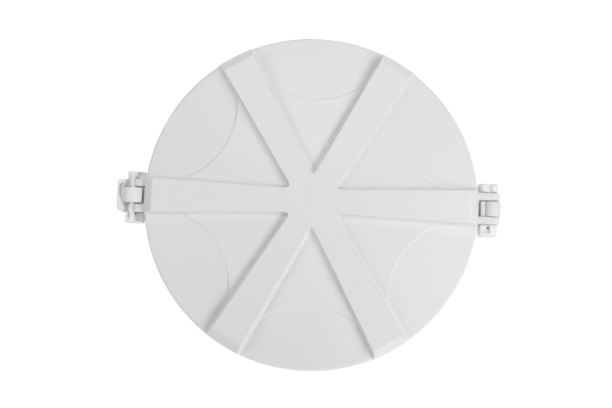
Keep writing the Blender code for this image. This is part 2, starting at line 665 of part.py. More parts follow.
def build_hinge_bracket():
    bracket = saddle("hinge_bracket", 1)
    root_x = COLLAR_OUTER_RADIUS - ARM_EMBED
    post_inner = LID_RADIUS + SKIRT_GAP
    fillet_start = post_inner - ARM_EMBED
    outline = [
        (root_x, HINGE_ARM_BOTTOM),
        (HINGE_X - HINGE_ARM_KNEE, HINGE_ARM_BOTTOM + HINGE_ARM_SLOPE),
        (HINGE_X + HINGE_BARREL_RADIUS * 0.9, HINGE_Z - HINGE_BARREL_RADIUS),
    ]
    outline += arc((HINGE_X, HINGE_Z), HINGE_BARREL_RADIUS, -40, 200, 20)
    outline += [
        (fillet_start + HINGE_POST_FILLET, HINGE_ARM_TOP + HINGE_POST_FILLET),
        (fillet_start, HINGE_ARM_TOP),
        (root_x, HINGE_ARM_TOP),
    ]
    arm = plate("hinge_arm", outline, HINGE_BARREL_LENGTH, in_side_view(0.0), CUTTERS)
    join(bracket, arm)
    reach = HINGE_BARREL_LENGTH / 2 + CUT_MARGIN
    cut(bracket, pin_bore("barrel_bore", HINGE_X, HINGE_Z, -reach, reach))
    seat_on_sleeve(bracket, 1)
    shade_round(bracket)


def build_hinge_pin():
    """The hinge's cross pin: a rod with a two-lobed grip on one end, and a cap pressed on the other."""
    head_face = HINGE_EAR_OUTER + FIT_GAP
    head_end = head_face + HINGE_HEAD_LENGTH
    cap_face = -HINGE_EAR_OUTER - FIT_GAP
    cap_end = cap_face - HINGE_CAP_LENGTH
    rod_end = cap_end + HINGE_CAP_END_WALL + FIT_GAP
    rod_top = head_face + ARM_EMBED
    pin = rod_y(
        "hinge_pin", HINGE_X, HINGE_Z, PIN_RADIUS, rod_end, rod_top, SMALL_STEPS, PARTS, PIN_PLASTIC
    )
    head = box(
        "hinge_pin_head",
        (HINGE_X - HINGE_HEAD_INBOARD, head_face, HINGE_BLOCK_BOTTOM),
        (HINGE_X + HINGE_HEAD_OUTBOARD, head_end, HINGE_BLOCK_TOP),
        CUTTERS,
    )
    soften(head, HINGE_HEAD_ROUND, 3)
    cutter_low = HINGE_BLOCK_BOTTOM - CUT_MARGIN
    cutter_high = HINGE_BLOCK_TOP + CUT_MARGIN
    groove_x = HINGE_X - HEAD_GROOVE_OFFSET
    groove_y = head_end + HEAD_GROOVE_RADIUS - HEAD_GROOVE_DEPTH
    groove = upright_rod(
        "head_groove", groove_x, groove_y, HEAD_GROOVE_RADIUS, cutter_low, cutter_high, 12, CUTTERS
    )
    join(pin, head)
    cut(pin, groove)
    shade_round(pin)

    cap = box(
        "hinge_pin_cap",
        (HINGE_X - HINGE_CAP_INBOARD, cap_end, HINGE_BLOCK_BOTTOM),
        (HINGE_X + HINGE_CAP_OUTBOARD, cap_face, HINGE_BLOCK_TOP),
        PARTS,
        PIN_PLASTIC,
    )
    soften(cap, HINGE_CAP_ROUND, 3)
    recess_x = HINGE_X - HINGE_CAP_INBOARD + CAP_RECESS_SIDE_WALL
    recess_y = cap_face - CAP_RECESS_FRONT_WALL
    recess = box(
        "cap_recess",
        (recess_x, recess_y - CAP_RECESS_LENGTH, HINGE_BLOCK_TOP - CAP_RECESS_DEPTH),
        (HINGE_X - PIN_RADIUS, recess_y, cutter_high),
        CUTTERS,
    )
    cut(cap, recess)
    cut(cap, pin_bore("cap_bore", HINGE_X, HINGE_Z, rod_end - FIT_GAP, cap_face + CUT_MARGIN))
    hole_x = HINGE_X - CAP_HOLE_FROM_AXIS
    hole_y = cap_face - CAP_HOLE_FROM_FRONT
    cut(
        cap,
        upright_rod(
            "cap_wire_hole", hole_x, hole_y, WIRE_HOLE_RADIUS, cutter_low, cutter_high, 10, CUTTERS
        ),
    )
    shade_round(cap)


def build_keeper():
    keeper = saddle("latch_keeper", -1)
    middle = (KEEPER_NOSE_TOP + KEEPER_NOSE_BOTTOM) / 2
    root_x = -COLLAR_OUTER_RADIUS + ARM_EMBED
    outline = [
        (root_x, KEEPER_NOSE_TOP),
        (KEEPER_NOSE_X + KEEPER_NOSE_CHAMFER, KEEPER_NOSE_TOP),
        (KEEPER_NOSE_X, middle + KEEPER_NOSE_FLAT / 2),
        (KEEPER_NOSE_X, middle - KEEPER_NOSE_FLAT / 2),
        (KEEPER_NOSE_X + KEEPER_NOSE_CHAMFER, KEEPER_NOSE_BOTTOM),
        (-SADDLE_FACE - KEEPER_GUSSET, KEEPER_NOSE_BOTTOM - KEEPER_GUSSET),
        (root_x, KEEPER_NOSE_BOTTOM - KEEPER_GUSSET - ARM_EMBED),
    ]
    nose = plate("keeper_nose", outline, 2 * KEEPER_NOSE_HALF_WIDTH, in_side_view(0.0), CUTTERS)
    join(keeper, nose)
    seat_on_sleeve(keeper, -1)
    shade_round(keeper)


def build_latch():
    """The latch lever: a barrel on the pin, a finger lip outboard of it and a tail that snaps down."""
    half_barrel = LATCH_BARREL_LENGTH / 2
    lever = rod_y(
        "latch_lever",
        LATCH_X,
        LATCH_Z,
        LATCH_BARREL_RADIUS,
        -half_barrel,
        half_barrel,
        MEDIUM_STEPS,
        PARTS,
        LATCH_PLASTIC,
    )
    web_top = LATCH_Z - PIN_RADIUS
    barrel_low = LATCH_Z - LATCH_BARREL_RADIUS + WEB_BARREL_SINK
    web = [
        (TAIL_OUTER_X, web_top),
        (TAIL_OUTER_X, TAIL_BOTTOM + TAIL_END_CHAMFER),
        (TAIL_OUTER_X + TAIL_END_CHAMFER, TAIL_BOTTOM),
        (TAIL_INNER_X - TAIL_LEAD_IN, TAIL_BOTTOM),
        (TAIL_INNER_X, TAIL_BOTTOM + TAIL_LEAD_IN),
        (TAIL_INNER_X, LATCH_Z - WEB_SHOULDER_DROP),
        (LATCH_X - WEB_HALF_WIDTH_ON_BARREL, barrel_low),
        (LATCH_X + WEB_HALF_WIDTH_ON_BARREL, barrel_low),
        (LATCH_X, web_top - WEB_HALF_WIDTH_ON_BARREL),
        (LATCH_X - WEB_HALF_WIDTH_ON_BARREL, web_top),
    ]
    web_width = LATCH_BARREL_LENGTH - 2 * WEB_SIDE_GAP
    join(lever, plate("latch_web", web, web_width, in_side_view(0.0), CUTTERS))
    left, right = LATCH_X - LIP_REACH, LIP_INNER_X
    half = LIP_WIDTH / 2
    corner = LIP_CORNER_RADIUS
    lip_outline = [(right, -half), (right, half)]
    lip_outline += arc((left + corner, half - corner), corner, 90, 180, 6)
    lip_outline += arc((left + corner, -half + corner), corner, 180, 270, 6)
    lip = plate(
        "finger_lip",
        lip_outline,
        LIP_RISE + LIP_DROP,
        Matrix.Translation((0, 0, LATCH_Z + (LIP_RISE - LIP_DROP) / 2)),
        CUTTERS,
    )
    soften(lip, LIP_EDGE_RADIUS, 2, 60)
    join(lever, lip)
    reach = half_barrel + CUT_MARGIN
    cut(lever, pin_bore("latch_bore", LATCH_X, LATCH_Z, -reach, reach))
    shade_round(lever)


def build_latch_pin():
    """The latch's cross pin and the two clips that keep it from sliding out of the lid's ears."""
    upper_face = LATCH_EAR_OUTER + FIT_GAP
    upper_end = upper_face + UPPER_CLIP_LENGTH
    lower_end = -upper_face - LOWER_CLIP_LENGTH
    rod_top = upper_end - UPPER_CLIP_END_WALL - FIT_GAP
    rod_low = lower_end + LOWER_CLIP_END_WALL + FIT_GAP
    pin = rod_y(
        "latch_pin", LATCH_X, LATCH_Z, PIN_RADIUS, rod_low, rod_top, SMALL_STEPS, PARTS, PIN_PLASTIC
    )
    soften(pin, PIN_END_CHAMFER)
    shade_round(pin)
    upper_seat = (upper_face - CUT_MARGIN, rod_top + FIT_GAP)
    lower_seat = (rod_low - FIT_GAP, -upper_face + CUT_MARGIN)
    upper_hole_y = upper_face + UPPER_CLIP_HOLE_WALL + WIRE_HOLE_RADIUS
    lower_hole_y = -upper_face - LOWER_CLIP_HOLE_WALL - WIRE_HOLE_RADIUS
    clips = (
        ("latch_pin_clip_upper", upper_face, upper_end, upper_seat, upper_hole_y),
        ("latch_pin_clip_lower", lower_end, -upper_face, lower_seat, lower_hole_y),
    )
    hole_x = LATCH_X + PIN_BORE_RADIUS + 2 * WIRE_HOLE_RADIUS
    hole_low = CLIP_BOTTOM - CUT_MARGIN
    hole_high = CLIP_TOP + CUT_MARGIN
    for name, low_y, high_y, seat, hole_y in clips:
        clip = box(
            name,
            (LATCH_X - CLIP_OUTBOARD, low_y, CLIP_BOTTOM),
            (LATCH_X + CLIP_INBOARD, high_y, CLIP_TOP),
            PARTS,
            PIN_PLASTIC,
        )
        soften(clip, CLIP_ROUND, 2)
        cut(clip, pin_bore(name + "_seat", LATCH_X, LATCH_Z, *seat))
        hole = upright_rod(
            name + "_hole", hole_x, hole_y, WIRE_HOLE_RADIUS, hole_low, hole_high, 10, CUTTERS
        )
        cut(clip, hole)
        shade_round(clip)


build_collar()
build_hinge_bracket()
build_keeper()
build_screws()
build_lid()
build_hinge_pin()
build_latch()
build_latch_pin()
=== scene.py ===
"""Looks of the water tank lid, piece by piece, in the order in which the real one is put together."""

import json
import math

import bmesh
import bpy
from mathutils import Matrix, Vector


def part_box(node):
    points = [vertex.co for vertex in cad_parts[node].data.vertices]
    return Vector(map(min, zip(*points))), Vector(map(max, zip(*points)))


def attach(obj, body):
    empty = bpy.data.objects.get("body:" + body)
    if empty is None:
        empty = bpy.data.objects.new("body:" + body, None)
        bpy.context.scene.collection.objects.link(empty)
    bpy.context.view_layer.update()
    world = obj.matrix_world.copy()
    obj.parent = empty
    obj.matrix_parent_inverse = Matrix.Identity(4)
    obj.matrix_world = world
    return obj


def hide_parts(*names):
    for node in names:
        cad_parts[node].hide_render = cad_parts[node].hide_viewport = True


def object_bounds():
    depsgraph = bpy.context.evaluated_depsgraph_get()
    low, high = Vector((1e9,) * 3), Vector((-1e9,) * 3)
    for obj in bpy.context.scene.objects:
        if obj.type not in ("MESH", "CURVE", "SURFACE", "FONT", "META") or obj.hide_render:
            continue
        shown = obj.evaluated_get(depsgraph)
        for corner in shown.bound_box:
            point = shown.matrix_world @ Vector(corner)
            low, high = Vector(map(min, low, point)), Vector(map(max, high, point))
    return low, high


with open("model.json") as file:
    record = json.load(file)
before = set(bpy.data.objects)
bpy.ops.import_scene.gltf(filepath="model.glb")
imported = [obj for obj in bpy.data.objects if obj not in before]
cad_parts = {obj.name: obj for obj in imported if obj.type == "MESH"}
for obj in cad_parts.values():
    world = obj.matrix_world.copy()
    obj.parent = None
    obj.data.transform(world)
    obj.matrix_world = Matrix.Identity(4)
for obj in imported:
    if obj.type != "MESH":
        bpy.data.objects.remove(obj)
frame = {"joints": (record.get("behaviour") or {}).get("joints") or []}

cad_low, cad_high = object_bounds()

# Collar ring: the sleeve that goes over the tank's neck, with the flange that rests on its edge and
# a groove for the lid's seal. Moulded in white polypropylene, with a satin skin and broken edges.
RING_STEPS = 192
COLLAR_BORE = 0.204
COLLAR_WALL = 0.004
FOOT_HEIGHT = 0.004
FOOT_LEDGE = 0.003
FLANGE_THICKNESS = 0.005
FLANGE_LEDGE = 0.012
GROOVE_WIDTH = 0.0066
GROOVE_DEPTH = 0.0025
GROOVE_RIM = 0.0057
SLEEVE_FILLET = 0.0025
COLLAR_EDGE_ROUND = 0.0007
COLLAR_WHITE = (0.78, 0.78, 0.775)
CLOUD_TINT = 0.015
SHEEN_SPREAD = 0.05
GRAIN_DEPTH = 0.00003


def moulded_plastic(name, colour, roughness, seed):
    """White moulded plastic: a satin skin with a fine mould grain and faint flow clouds."""
    material = bpy.data.materials.new(name)
    material.use_nodes = True
    nodes = material.node_tree.nodes
    links = material.node_tree.links
    shader = nodes["Principled BSDF"]
    shader.inputs["IOR"].default_value = 1.49
    place = nodes.new("ShaderNodeTexCoord")
    shift = nodes.new("ShaderNodeMapping")
    shift.inputs["Location"].default_value = (seed, seed * 0.7, 0.0)
    links.new(place.outputs["Object"], shift.inputs["Vector"])

    def clouds(scale, detail):
        noise = nodes.new("ShaderNodeTexNoise")
        noise.inputs["Scale"].default_value = scale
        noise.inputs["Detail"].default_value = detail
        links.new(shift.outputs["Vector"], noise.inputs["Vector"])
        return noise.outputs["Fac"]

    tint = nodes.new("ShaderNodeMix")
    tint.data_type = "RGBA"
    tint.inputs["A"].default_value = (*((1 - CLOUD_TINT) * c for c in colour), 1.0)
    tint.inputs["B"].default_value = (*((1 + CLOUD_TINT) * c for c in colour), 1.0)
    links.new(clouds(scale=11.0, detail=3.0), tint.inputs["Factor"])
    links.new(tint.outputs["Result"], shader.inputs["Base Color"])

    sheen = nodes.new("ShaderNodeMapRange")
    sheen.inputs["To Min"].default_value = roughness - SHEEN_SPREAD
    sheen.inputs["To Max"].default_value = roughness + SHEEN_SPREAD
    links.new(clouds(scale=55.0, detail=4.0), sheen.inputs["Value"])
    links.new(sheen.outputs["Result"], shader.inputs["Roughness"])

    grain = nodes.new("ShaderNodeBump")
    grain.inputs["Strength"].default_value = 0.25
    grain.inputs["Distance"].default_value = GRAIN_DEPTH
    links.new(clouds(scale=1600.0, detail=2.0), grain.inputs["Height"])
    links.new(grain.outputs["Normal"], shader.inputs["Normal"])
    return material


def with_round_corners(section, radius, steps=3):
    """A closed section with each of its corners drawn as a short curve."""
    points = []
    corners = [Vector(corner) for corner in section]
    for i, corner in enumerate(corners):
        back = corners[i - 1] - corner
        ahead = corners[(i + 1) % len(corners)] - corner
        reach = min(radius, 0.45 * back.length, 0.45 * ahead.length)
        start = corner + back.normalized() * reach
        end = corner + ahead.normalized() * reach
        for step in range(steps + 1):
            t = step / steps
            points.append(start * (1 - t) ** 2 + corner * 2 * t * (1 - t) + end * t**2)
    return points


def spun(section):
    """A ring: the section, as (radius, height) points, spun once round the Z axis."""
    bm = bmesh.new()
    verts = [bm.verts.new((radius, 0.0, height)) for radius, height in section]
    edges = [bm.edges.new((verts[i - 1], verts[i])) for i in range(len(verts))]
    bmesh.ops.spin(
        bm,
        geom=verts + edges,
        cent=(0, 0, 0),
        axis=(0, 0, 1),
        angle=math.tau,
        steps=RING_STEPS,
        use_merge=True,
    )
    bmesh.ops.remove_doubles(bm, verts=bm.verts, dist=0.000001)
    bmesh.ops.recalc_face_normals(bm, faces=bm.faces)
    return bm


def piece_from(bm, name, material, sharp_degrees=40):
    """Makes the finished mesh an object at the origin, with smooth faces and its crisp edges kept."""
    mesh = bpy.data.meshes.new(name)
    bm.to_mesh(mesh)
    bm.free()
    mesh.materials.append(material)
    mesh.shade_smooth()
    mesh.set_sharp_from_angle(angle=math.radians(sharp_degrees))
    piece = bpy.data.objects.new(name, mesh)
    bpy.context.scene.collection.objects.link(piece)
    return piece


collar_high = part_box("collar_ring")[1]
flange_radius = collar_high.x
collar_top = collar_high.z
sleeve_radius = COLLAR_BORE + COLLAR_WALL
flange_bottom = collar_top - FLANGE_THICKNESS
groove_outer = flange_radius - GROOVE_RIM
groove_inner = groove_outer - GROOVE_WIDTH
foot_radius = sleeve_radius + FOOT_LEDGE
collar_section = [
    (COLLAR_BORE - FLANGE_LEDGE, collar_top),
    (groove_inner, collar_top),
    (groove_inner, collar_top - GROOVE_DEPTH),
    (groove_outer, collar_top - GROOVE_DEPTH),
    (groove_outer, collar_top),
    (flange_radius, collar_top),
    (flange_radius, flange_bottom),
    (sleeve_radius + SLEEVE_FILLET, flange_bottom),
    (sleeve_radius, flange_bottom - SLEEVE_FILLET),
    (sleeve_radius, FOOT_HEIGHT),
    (foot_radius, FOOT_HEIGHT),
    (foot_radius, 0.0),
    (COLLAR_BORE, 0.0),
    (COLLAR_BORE, flange_bottom),
    (COLLAR_BORE - FLANGE_LEDGE, flange_bottom),
]
collar_white = moulded_plastic("collar_polypropylene", COLLAR_WHITE, roughness=0.46, seed=3.1)
collar_mesh = spun(with_round_corners(collar_section, COLLAR_EDGE_ROUND))


def arc(centre, radius, start_degrees, end_degrees, steps):
    """Points along a circle, from one angle to the other."""
    turn = (end_degrees - start_degrees) / steps
    angles = [math.radians(start_degrees + turn * i) for i in range(steps + 1)]
    return [(centre[0] + radius * math.cos(a), centre[1] + radius * math.sin(a)) for a in angles]


def add_mesh(bm, part):
    """Adds a finished part to the moulding that it belongs to."""
    holder = bpy.data.meshes.new("holder")
    part.to_mesh(holder)
    part.free()
    bm.from_mesh(holder)
    bpy.data.meshes.remove(holder)


def plate(outline, thickness, place, edge_round, steps=3, hole=()):
    """A plate cut to the outline, with an opening if one is given, and all its edges rounded."""
    bm = bmesh.new()
    edges = []
    for loop in (outline, hole):
        verts = [bm.verts.new((u, v, -thickness / 2)) for u, v in loop]
        edges += [bm.edges.new((verts[i - 1], verts[i])) for i in range(len(verts))]
    if hole:
        bmesh.ops.triangle_fill(bm, use_beauty=True, use_dissolve=False, edges=edges)
    else:
        bmesh.ops.contextual_create(bm, geom=edges)
    raised = bmesh.ops.extrude_face_region(bm, geom=bm.faces[:])
    top = [item for item in raised["geom"] if isinstance(item, bmesh.types.BMVert)]
    bmesh.ops.translate(bm, vec=(0, 0, thickness), verts=top)
    bmesh.ops.recalc_face_normals(bm, faces=bm.faces)
    sharp = [edge for edge in bm.edges if edge.calc_face_angle(0.0) > math.radians(50)]
    bmesh.ops.bevel(
        bm,
        geom=sharp,
        offset=edge_round,
        segments=steps,
        profile=0.5,
        affect="EDGES",
        material=-1,
        clamp_overlap=True,
    )
    bmesh.ops.transform(bm, matrix=place, verts=bm.verts)
    return bm


def in_side_view(centre_y):
    """Stands an outline drawn as (x, z) upright at centre_y."""
    return Matrix.Translation((0.0, centre_y, 0.0)) @ Matrix.Rotation(math.radians(90), 4, "X")


def at_angle(angle):
    """Turns a shape about the collar's axis."""
    return Matrix.Rotation(angle, 4, "Z")


GUSSET_COUNT = 24
GUSSET_THICKNESS = 0.0024
GUSSET_REACH = 0.0055
GUSSET_DROP = 0.011
GUSSET_ROOT = 0.001
GUSSET_LIP = 0.0012
GUSSET_TOE = 0.0008
NO_GUSSETS_WITHIN = math.radians(20)
BOSS_RADIUS = 0.0066
BOSS_HEIGHT = 0.0016
SCREW_SEAT_RADIUS = 0.2083
COLLAR_SCREWS = 6
COLLAR_SCREW_HEIGHT = 0.020
gusset = [
    (sleeve_radius - GUSSET_ROOT, flange_bottom + GUSSET_ROOT),
    (sleeve_radius + GUSSET_REACH, flange_bottom + GUSSET_ROOT),
    (sleeve_radius + GUSSET_REACH, flange_bottom - GUSSET_LIP),
    (sleeve_radius + GUSSET_TOE, flange_bottom - GUSSET_DROP),
    (sleeve_radius - GUSSET_ROOT, flange_bottom - GUSSET_DROP),
]
for i in range(GUSSET_COUNT):
    angle = math.tau * (i + 0.5) / GUSSET_COUNT
    if abs(math.sin(angle)) > math.sin(NO_GUSSETS_WITHIN):
        gusset_place = at_angle(angle) @ in_side_view(0.0)
        add_mesh(collar_mesh, plate(gusset, GUSSET_THICKNESS, gusset_place, 0.0006, 2))


def screw_boss(turn, face, y, height):
    """A low round boss whose face, that far out from the axis, takes a screw's head."""
    place = turn @ Matrix.Translation((face - BOSS_HEIGHT / 2, y, height))
    place = place @ Matrix.Rotation(math.radians(90), 4, "Y")
    return plate(arc((0.0, 0.0), BOSS_RADIUS, 0, 350, 35), BOSS_HEIGHT, place, 0.0003, 2)


for i in range(COLLAR_SCREWS):
    turn = at_angle(math.tau * (i + 0.5) / COLLAR_SCREWS)
    add_mesh(collar_mesh, screw_boss(turn, SCREW_SEAT_RADIUS, 0.0, COLLAR_SCREW_HEIGHT))
collar = piece_from(collar_mesh, "collar_moulding", collar_white)
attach(collar, "collar")
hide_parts("collar_ring")

# Seals: a flat ring of black rubber glued under the flange's ledge, which sits on the tank's neck,
# and a ring with a rounded back that is pressed into the flange's groove for the lid to close on.
SEAL_CLEARANCE = 0.0003
BEADS = 3
BEAD_HEIGHT = 0.0005
BEAD_HALF_WIDTH = 0.0012
NECK_SEAL_ROUND = 0.0005
LID_SEAL_ROUND = 0.0004
VEE_HALF_WIDTH = 0.0008
VEE_DEPTH = 0.0010
RUBBER_BLACK = (0.045, 0.045, 0.046)


def moulded_rubber(name, colour, seed):
    """Matt black rubber with a dusty bloom and a fine moulded texture."""
    material = moulded_plastic(name, colour, roughness=0.72, seed=seed)
    shader = material.node_tree.nodes["Principled BSDF"]
    shader.inputs["Specular IOR Level"].default_value = 0.35
    shader.inputs["Sheen Weight"].default_value = 0.15
    shader.inputs["Sheen Roughness"].default_value = 0.6
    return material


rubber = moulded_rubber("black_seal_rubber", RUBBER_BLACK, seed=12.4)
neck_low, neck_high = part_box("neck_seal")
inner = COLLAR_BORE - FLANGE_LEDGE + SEAL_CLEARANCE
outer = COLLAR_BORE - SEAL_CLEARANCE
bead_root = neck_low.z + BEAD_HEIGHT
neck_section = [(inner, neck_high.z), (outer, neck_high.z), (outer, bead_root)]
for i in range(BEADS):
    crest = outer - (outer - inner) * (i + 0.5) / BEADS
    neck_section += [
        (crest + BEAD_HALF_WIDTH, bead_root),
        (crest, neck_low.z),
        (crest - BEAD_HALF_WIDTH, bead_root),
    ]
neck_section += [(inner, bead_root)]
neck_mesh = spun(with_round_corners(neck_section, NECK_SEAL_ROUND))
neck_seal = piece_from(neck_mesh, "neck_gasket", rubber)
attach(neck_seal, "collar")
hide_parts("neck_seal")

seal_low, seal_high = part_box("lid_seal")
seal_middle = (groove_inner + groove_outer) / 2
seal_half = seal_high.x - seal_middle
lid_seal_section = [(seal_middle - seal_half, seal_low.z)]
lid_seal_section += arc((seal_middle, seal_high.z - seal_half), seal_half, 180, 0, 12)
lid_seal_section += [
    (seal_middle + seal_half, seal_low.z),
    (seal_middle + VEE_HALF_WIDTH, seal_low.z),
    (seal_middle, seal_low.z + VEE_DEPTH),
    (seal_middle - VEE_HALF_WIDTH, seal_low.z),
]
lid_seal_mesh = spun(with_round_corners(lid_seal_section, LID_SEAL_ROUND, 2))
lid_seal = piece_from(lid_seal_mesh, "lid_gasket", rubber)
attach(lid_seal, "collar")
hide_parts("lid_seal")

# Hinge bracket: a saddle screwed to the sleeve, with an arm that goes out and up to the barrel of
# the hinge. One moulding of the collar's plastic, with generous rounds where it takes the load.
SADDLE_HALF_WIDTH = 0.030
SADDLE_FACE = 0.214
SADDLE_TOP = 0.032
SADDLE_BOTTOM = 0.006
SADDLE_SCREW_OFFSET = 0.022
SADDLE_SCREW_HEIGHT = 0.019
SADDLE_BOSS_PROUD = 0.0003
SADDLE_EDGE_ROUND = 0.0015
HINGE_BARREL_RADIUS = 0.0119
HINGE_BARREL_LENGTH = 0.0204
BARREL_OFFSET = -0.0003
ARM_BOTTOM = 0.010
ARM_TOP = 0.031
ARM_EMBEDDED = 0.004
PLATE_EMBEDDED = 0.003
POST_INNER = 0.2282
ARM_ROOT_HALF_WIDTH = 0.0150
ARM_ROOT_REACH = 0.018
ARM_ROOT_SET_BACK = 0.0006
LEDGE_TOP = 0.0565
PIN_RADIUS = 0.0033
PIN_BORE = 0.0035
hinge_axis = Vector(next(j["pos_m"] for j in frame["joints"] if j["name"] == "lid_hinge"))
latch_axis = Vector(next(j["pos_m"] for j in frame["joints"] if j["name"] == "latch_swing"))


def saddle(side):
    """A plate whose back follows the sleeve, with a low boss round each of its two screws."""
    half_angle = math.degrees(math.asin(SADDLE_HALF_WIDTH / SCREW_SEAT_RADIUS))
    outline = arc((0.0, 0.0), SCREW_SEAT_RADIUS, half_angle, -half_angle, 12)
    outline += [(SADDLE_FACE, -SADDLE_HALF_WIDTH), (SADDLE_FACE, SADDLE_HALF_WIDTH)]
    turn = at_angle(0.0 if side > 0 else math.pi)
    middle = (SADDLE_TOP + SADDLE_BOTTOM) / 2
    place = turn @ Matrix.Translation((0, 0, middle))
    bm = plate(outline, SADDLE_TOP - SADDLE_BOTTOM, place, SADDLE_EDGE_ROUND)
    for y in (SADDLE_SCREW_OFFSET, -SADDLE_SCREW_OFFSET):
        add_mesh(bm, screw_boss(turn, SADDLE_FACE + SADDLE_BOSS_PROUD, y, SADDLE_SCREW_HEIGHT))
    return bm


barrel_centre = (hinge_axis.x, hinge_axis.z)
arm_outline = [
    (SADDLE_FACE - ARM_EMBEDDED, ARM_BOTTOM),
    (hinge_axis.x - 0.014, ARM_BOTTOM + 0.0025),
    (hinge_axis.x - 0.009, ARM_BOTTOM + 0.004),
    (hinge_axis.x - 0.004, ARM_BOTTOM + 0.0075),
    (hinge_axis.x + HINGE_BARREL_RADIUS * 0.9, hinge_axis.z - HINGE_BARREL_RADIUS),
]
arm_outline += arc(barrel_centre, HINGE_BARREL_RADIUS, -40, 150, 38)
arm_outline += [(POST_INNER + 0.0040, LEDGE_TOP), (POST_INNER + 0.0008, LEDGE_TOP)]
arm_outline += [(POST_INNER + 0.0012, ARM_TOP + 0.006), (POST_INNER + 0.0006, ARM_TOP + 0.0020)]
arm_outline += [(POST_INNER - 0.002, ARM_TOP), (SADDLE_FACE - ARM_EMBEDDED, ARM_TOP)]
pin_hole = arc(barrel_centre, PIN_BORE, 0, 345, 23)
bracket_mesh = saddle(1)
arm_place = in_side_view(BARREL_OFFSET)
add_mesh(bracket_mesh, plate(arm_outline, HINGE_BARREL_LENGTH, arm_place, 0.0009, 3, pin_hole))
root_outline = [
    (SADDLE_FACE - PLATE_EMBEDDED, ARM_TOP - ARM_ROOT_SET_BACK),
    (SADDLE_FACE - PLATE_EMBEDDED, ARM_BOTTOM + 0.0010),
    (SADDLE_FACE + 0.012, ARM_BOTTOM + 0.0030),
    (SADDLE_FACE + ARM_ROOT_REACH, ARM_BOTTOM + 0.0100),
    (SADDLE_FACE + ARM_ROOT_REACH, ARM_TOP - ARM_ROOT_SET_BACK),
]
add_mesh(bracket_mesh, plate(root_outline, 2 * ARM_ROOT_HALF_WIDTH, in_side_view(0.0), 0.0008))
bracket = piece_from(bracket_mesh, "hinge_bracket_moulding", collar_white)
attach(bracket, "collar")
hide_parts("hinge_bracket")

# Latch keeper: a second saddle on the other side of the sleeve, with the chamfered nose that the
# tail of the latch clips under. The same plastic and the same screws as the bracket.
NOSE_TOP = 0.030
NOSE_BOTTOM = 0.017
NOSE_X = -0.2495
NOSE_HALF_WIDTH = 0.0095
NOSE_CHAMFER = 0.003
NOSE_TIP_HALF_HEIGHT = 0.0036
SHELF_HALF_WIDTH = 0.0150
SHELF_SET_BACK = 0.0005
nose_middle = (NOSE_TOP + NOSE_BOTTOM) / 2
keeper_root = -SADDLE_FACE + PLATE_EMBEDDED
nose_outline = [
    (keeper_root, NOSE_TOP),
    (NOSE_X + NOSE_CHAMFER, NOSE_TOP),
    (NOSE_X, nose_middle + NOSE_TIP_HALF_HEIGHT),
    (NOSE_X, nose_middle - NOSE_TIP_HALF_HEIGHT),
    (NOSE_X + NOSE_CHAMFER, NOSE_BOTTOM),
    (-SADDLE_FACE - 0.010, NOSE_BOTTOM - 0.0008),
    (-SADDLE_FACE - 0.004, NOSE_BOTTOM - 0.004),
    (keeper_root, NOSE_BOTTOM - 0.006),
]
shelf_outline = [
    (keeper_root, NOSE_TOP - SHELF_SET_BACK),
    (NOSE_X + 0.0060, NOSE_TOP - SHELF_SET_BACK),
    (NOSE_X + 0.0045, NOSE_TOP - 0.0025),
    (NOSE_X + 0.0060, NOSE_BOTTOM + 0.0040),
    (keeper_root, NOSE_BOTTOM - 0.0040),
]
keeper_mesh = saddle(-1)
add_mesh(keeper_mesh, plate(shelf_outline, 2 * SHELF_HALF_WIDTH, in_side_view(0.0), 0.0008))
add_mesh(keeper_mesh, plate(nose_outline, 2 * NOSE_HALF_WIDTH, in_side_view(0.0), 0.0008))
keeper = piece_from(keeper_mesh, "latch_keeper_moulding", collar_white)
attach(keeper, "collar")
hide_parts("latch_keeper")

# Screws: pan-head self-tapping screws of stainless steel with a cross recess, six through the
# sleeve into the tank's neck and two through each saddle. Turned head, rolled thread.
SHANK_RADIUS = 0.0018
THREAD_RADIUS = 0.0021
THREAD_PITCH = 0.0017
THREAD_STEPS = 16
THREAD_RIDGE = 0.3
THREAD_ROOT = 0.0002
THREAD_START = 0.0008
THREAD_RUN_OUT = 0.005
POINT_LENGTH = 0.0042
SCREW_HEAD_RADIUS = 0.0043
SCREW_HEAD_HEIGHT = 0.0030
CROSS_SIZE = (0.0046, 0.0009, 0.0036)
CROSS_MIDDLE = 0.0031
CROSS_NARROWING = 0.45
SCREW_TURN_DEGREES = 37
COLLAR_SCREW_LENGTH = 0.016
SADDLE_SCREW_LENGTH = 0.022
STEEL_GREY = (0.60, 0.60, 0.585)


def turned_steel(name, colour, seed):
    """Plain stainless steel with a fine grain and a little uneven polish."""
    material = moulded_plastic(name, colour, roughness=0.30, seed=seed)
    nodes = material.node_tree.nodes
    nodes["Principled BSDF"].inputs["Metallic"].default_value = 1.0
    return material


def cut_from(bm, cutter):
    """Takes the cutter's shape out of a closed mesh."""
    holders = []
    for shape in (bm, cutter):
        mesh = bpy.data.meshes.new("holder")
        shape.to_mesh(mesh)
        shape.free()
        holder = bpy.data.objects.new("holder", mesh)
        bpy.context.scene.collection.objects.link(holder)
        holders.append(holder)
    difference = holders[0].modifiers.new("cut", "BOOLEAN")
    difference.operation = "DIFFERENCE"
    difference.solver = "EXACT"
    difference.object = holders[1]
    result = bmesh.new()
    result.from_object(holders[0], bpy.context.evaluated_depsgraph_get())
    for holder in holders:
        mesh = holder.data
        bpy.data.objects.remove(holder)
        bpy.data.meshes.remove(mesh)
    return result


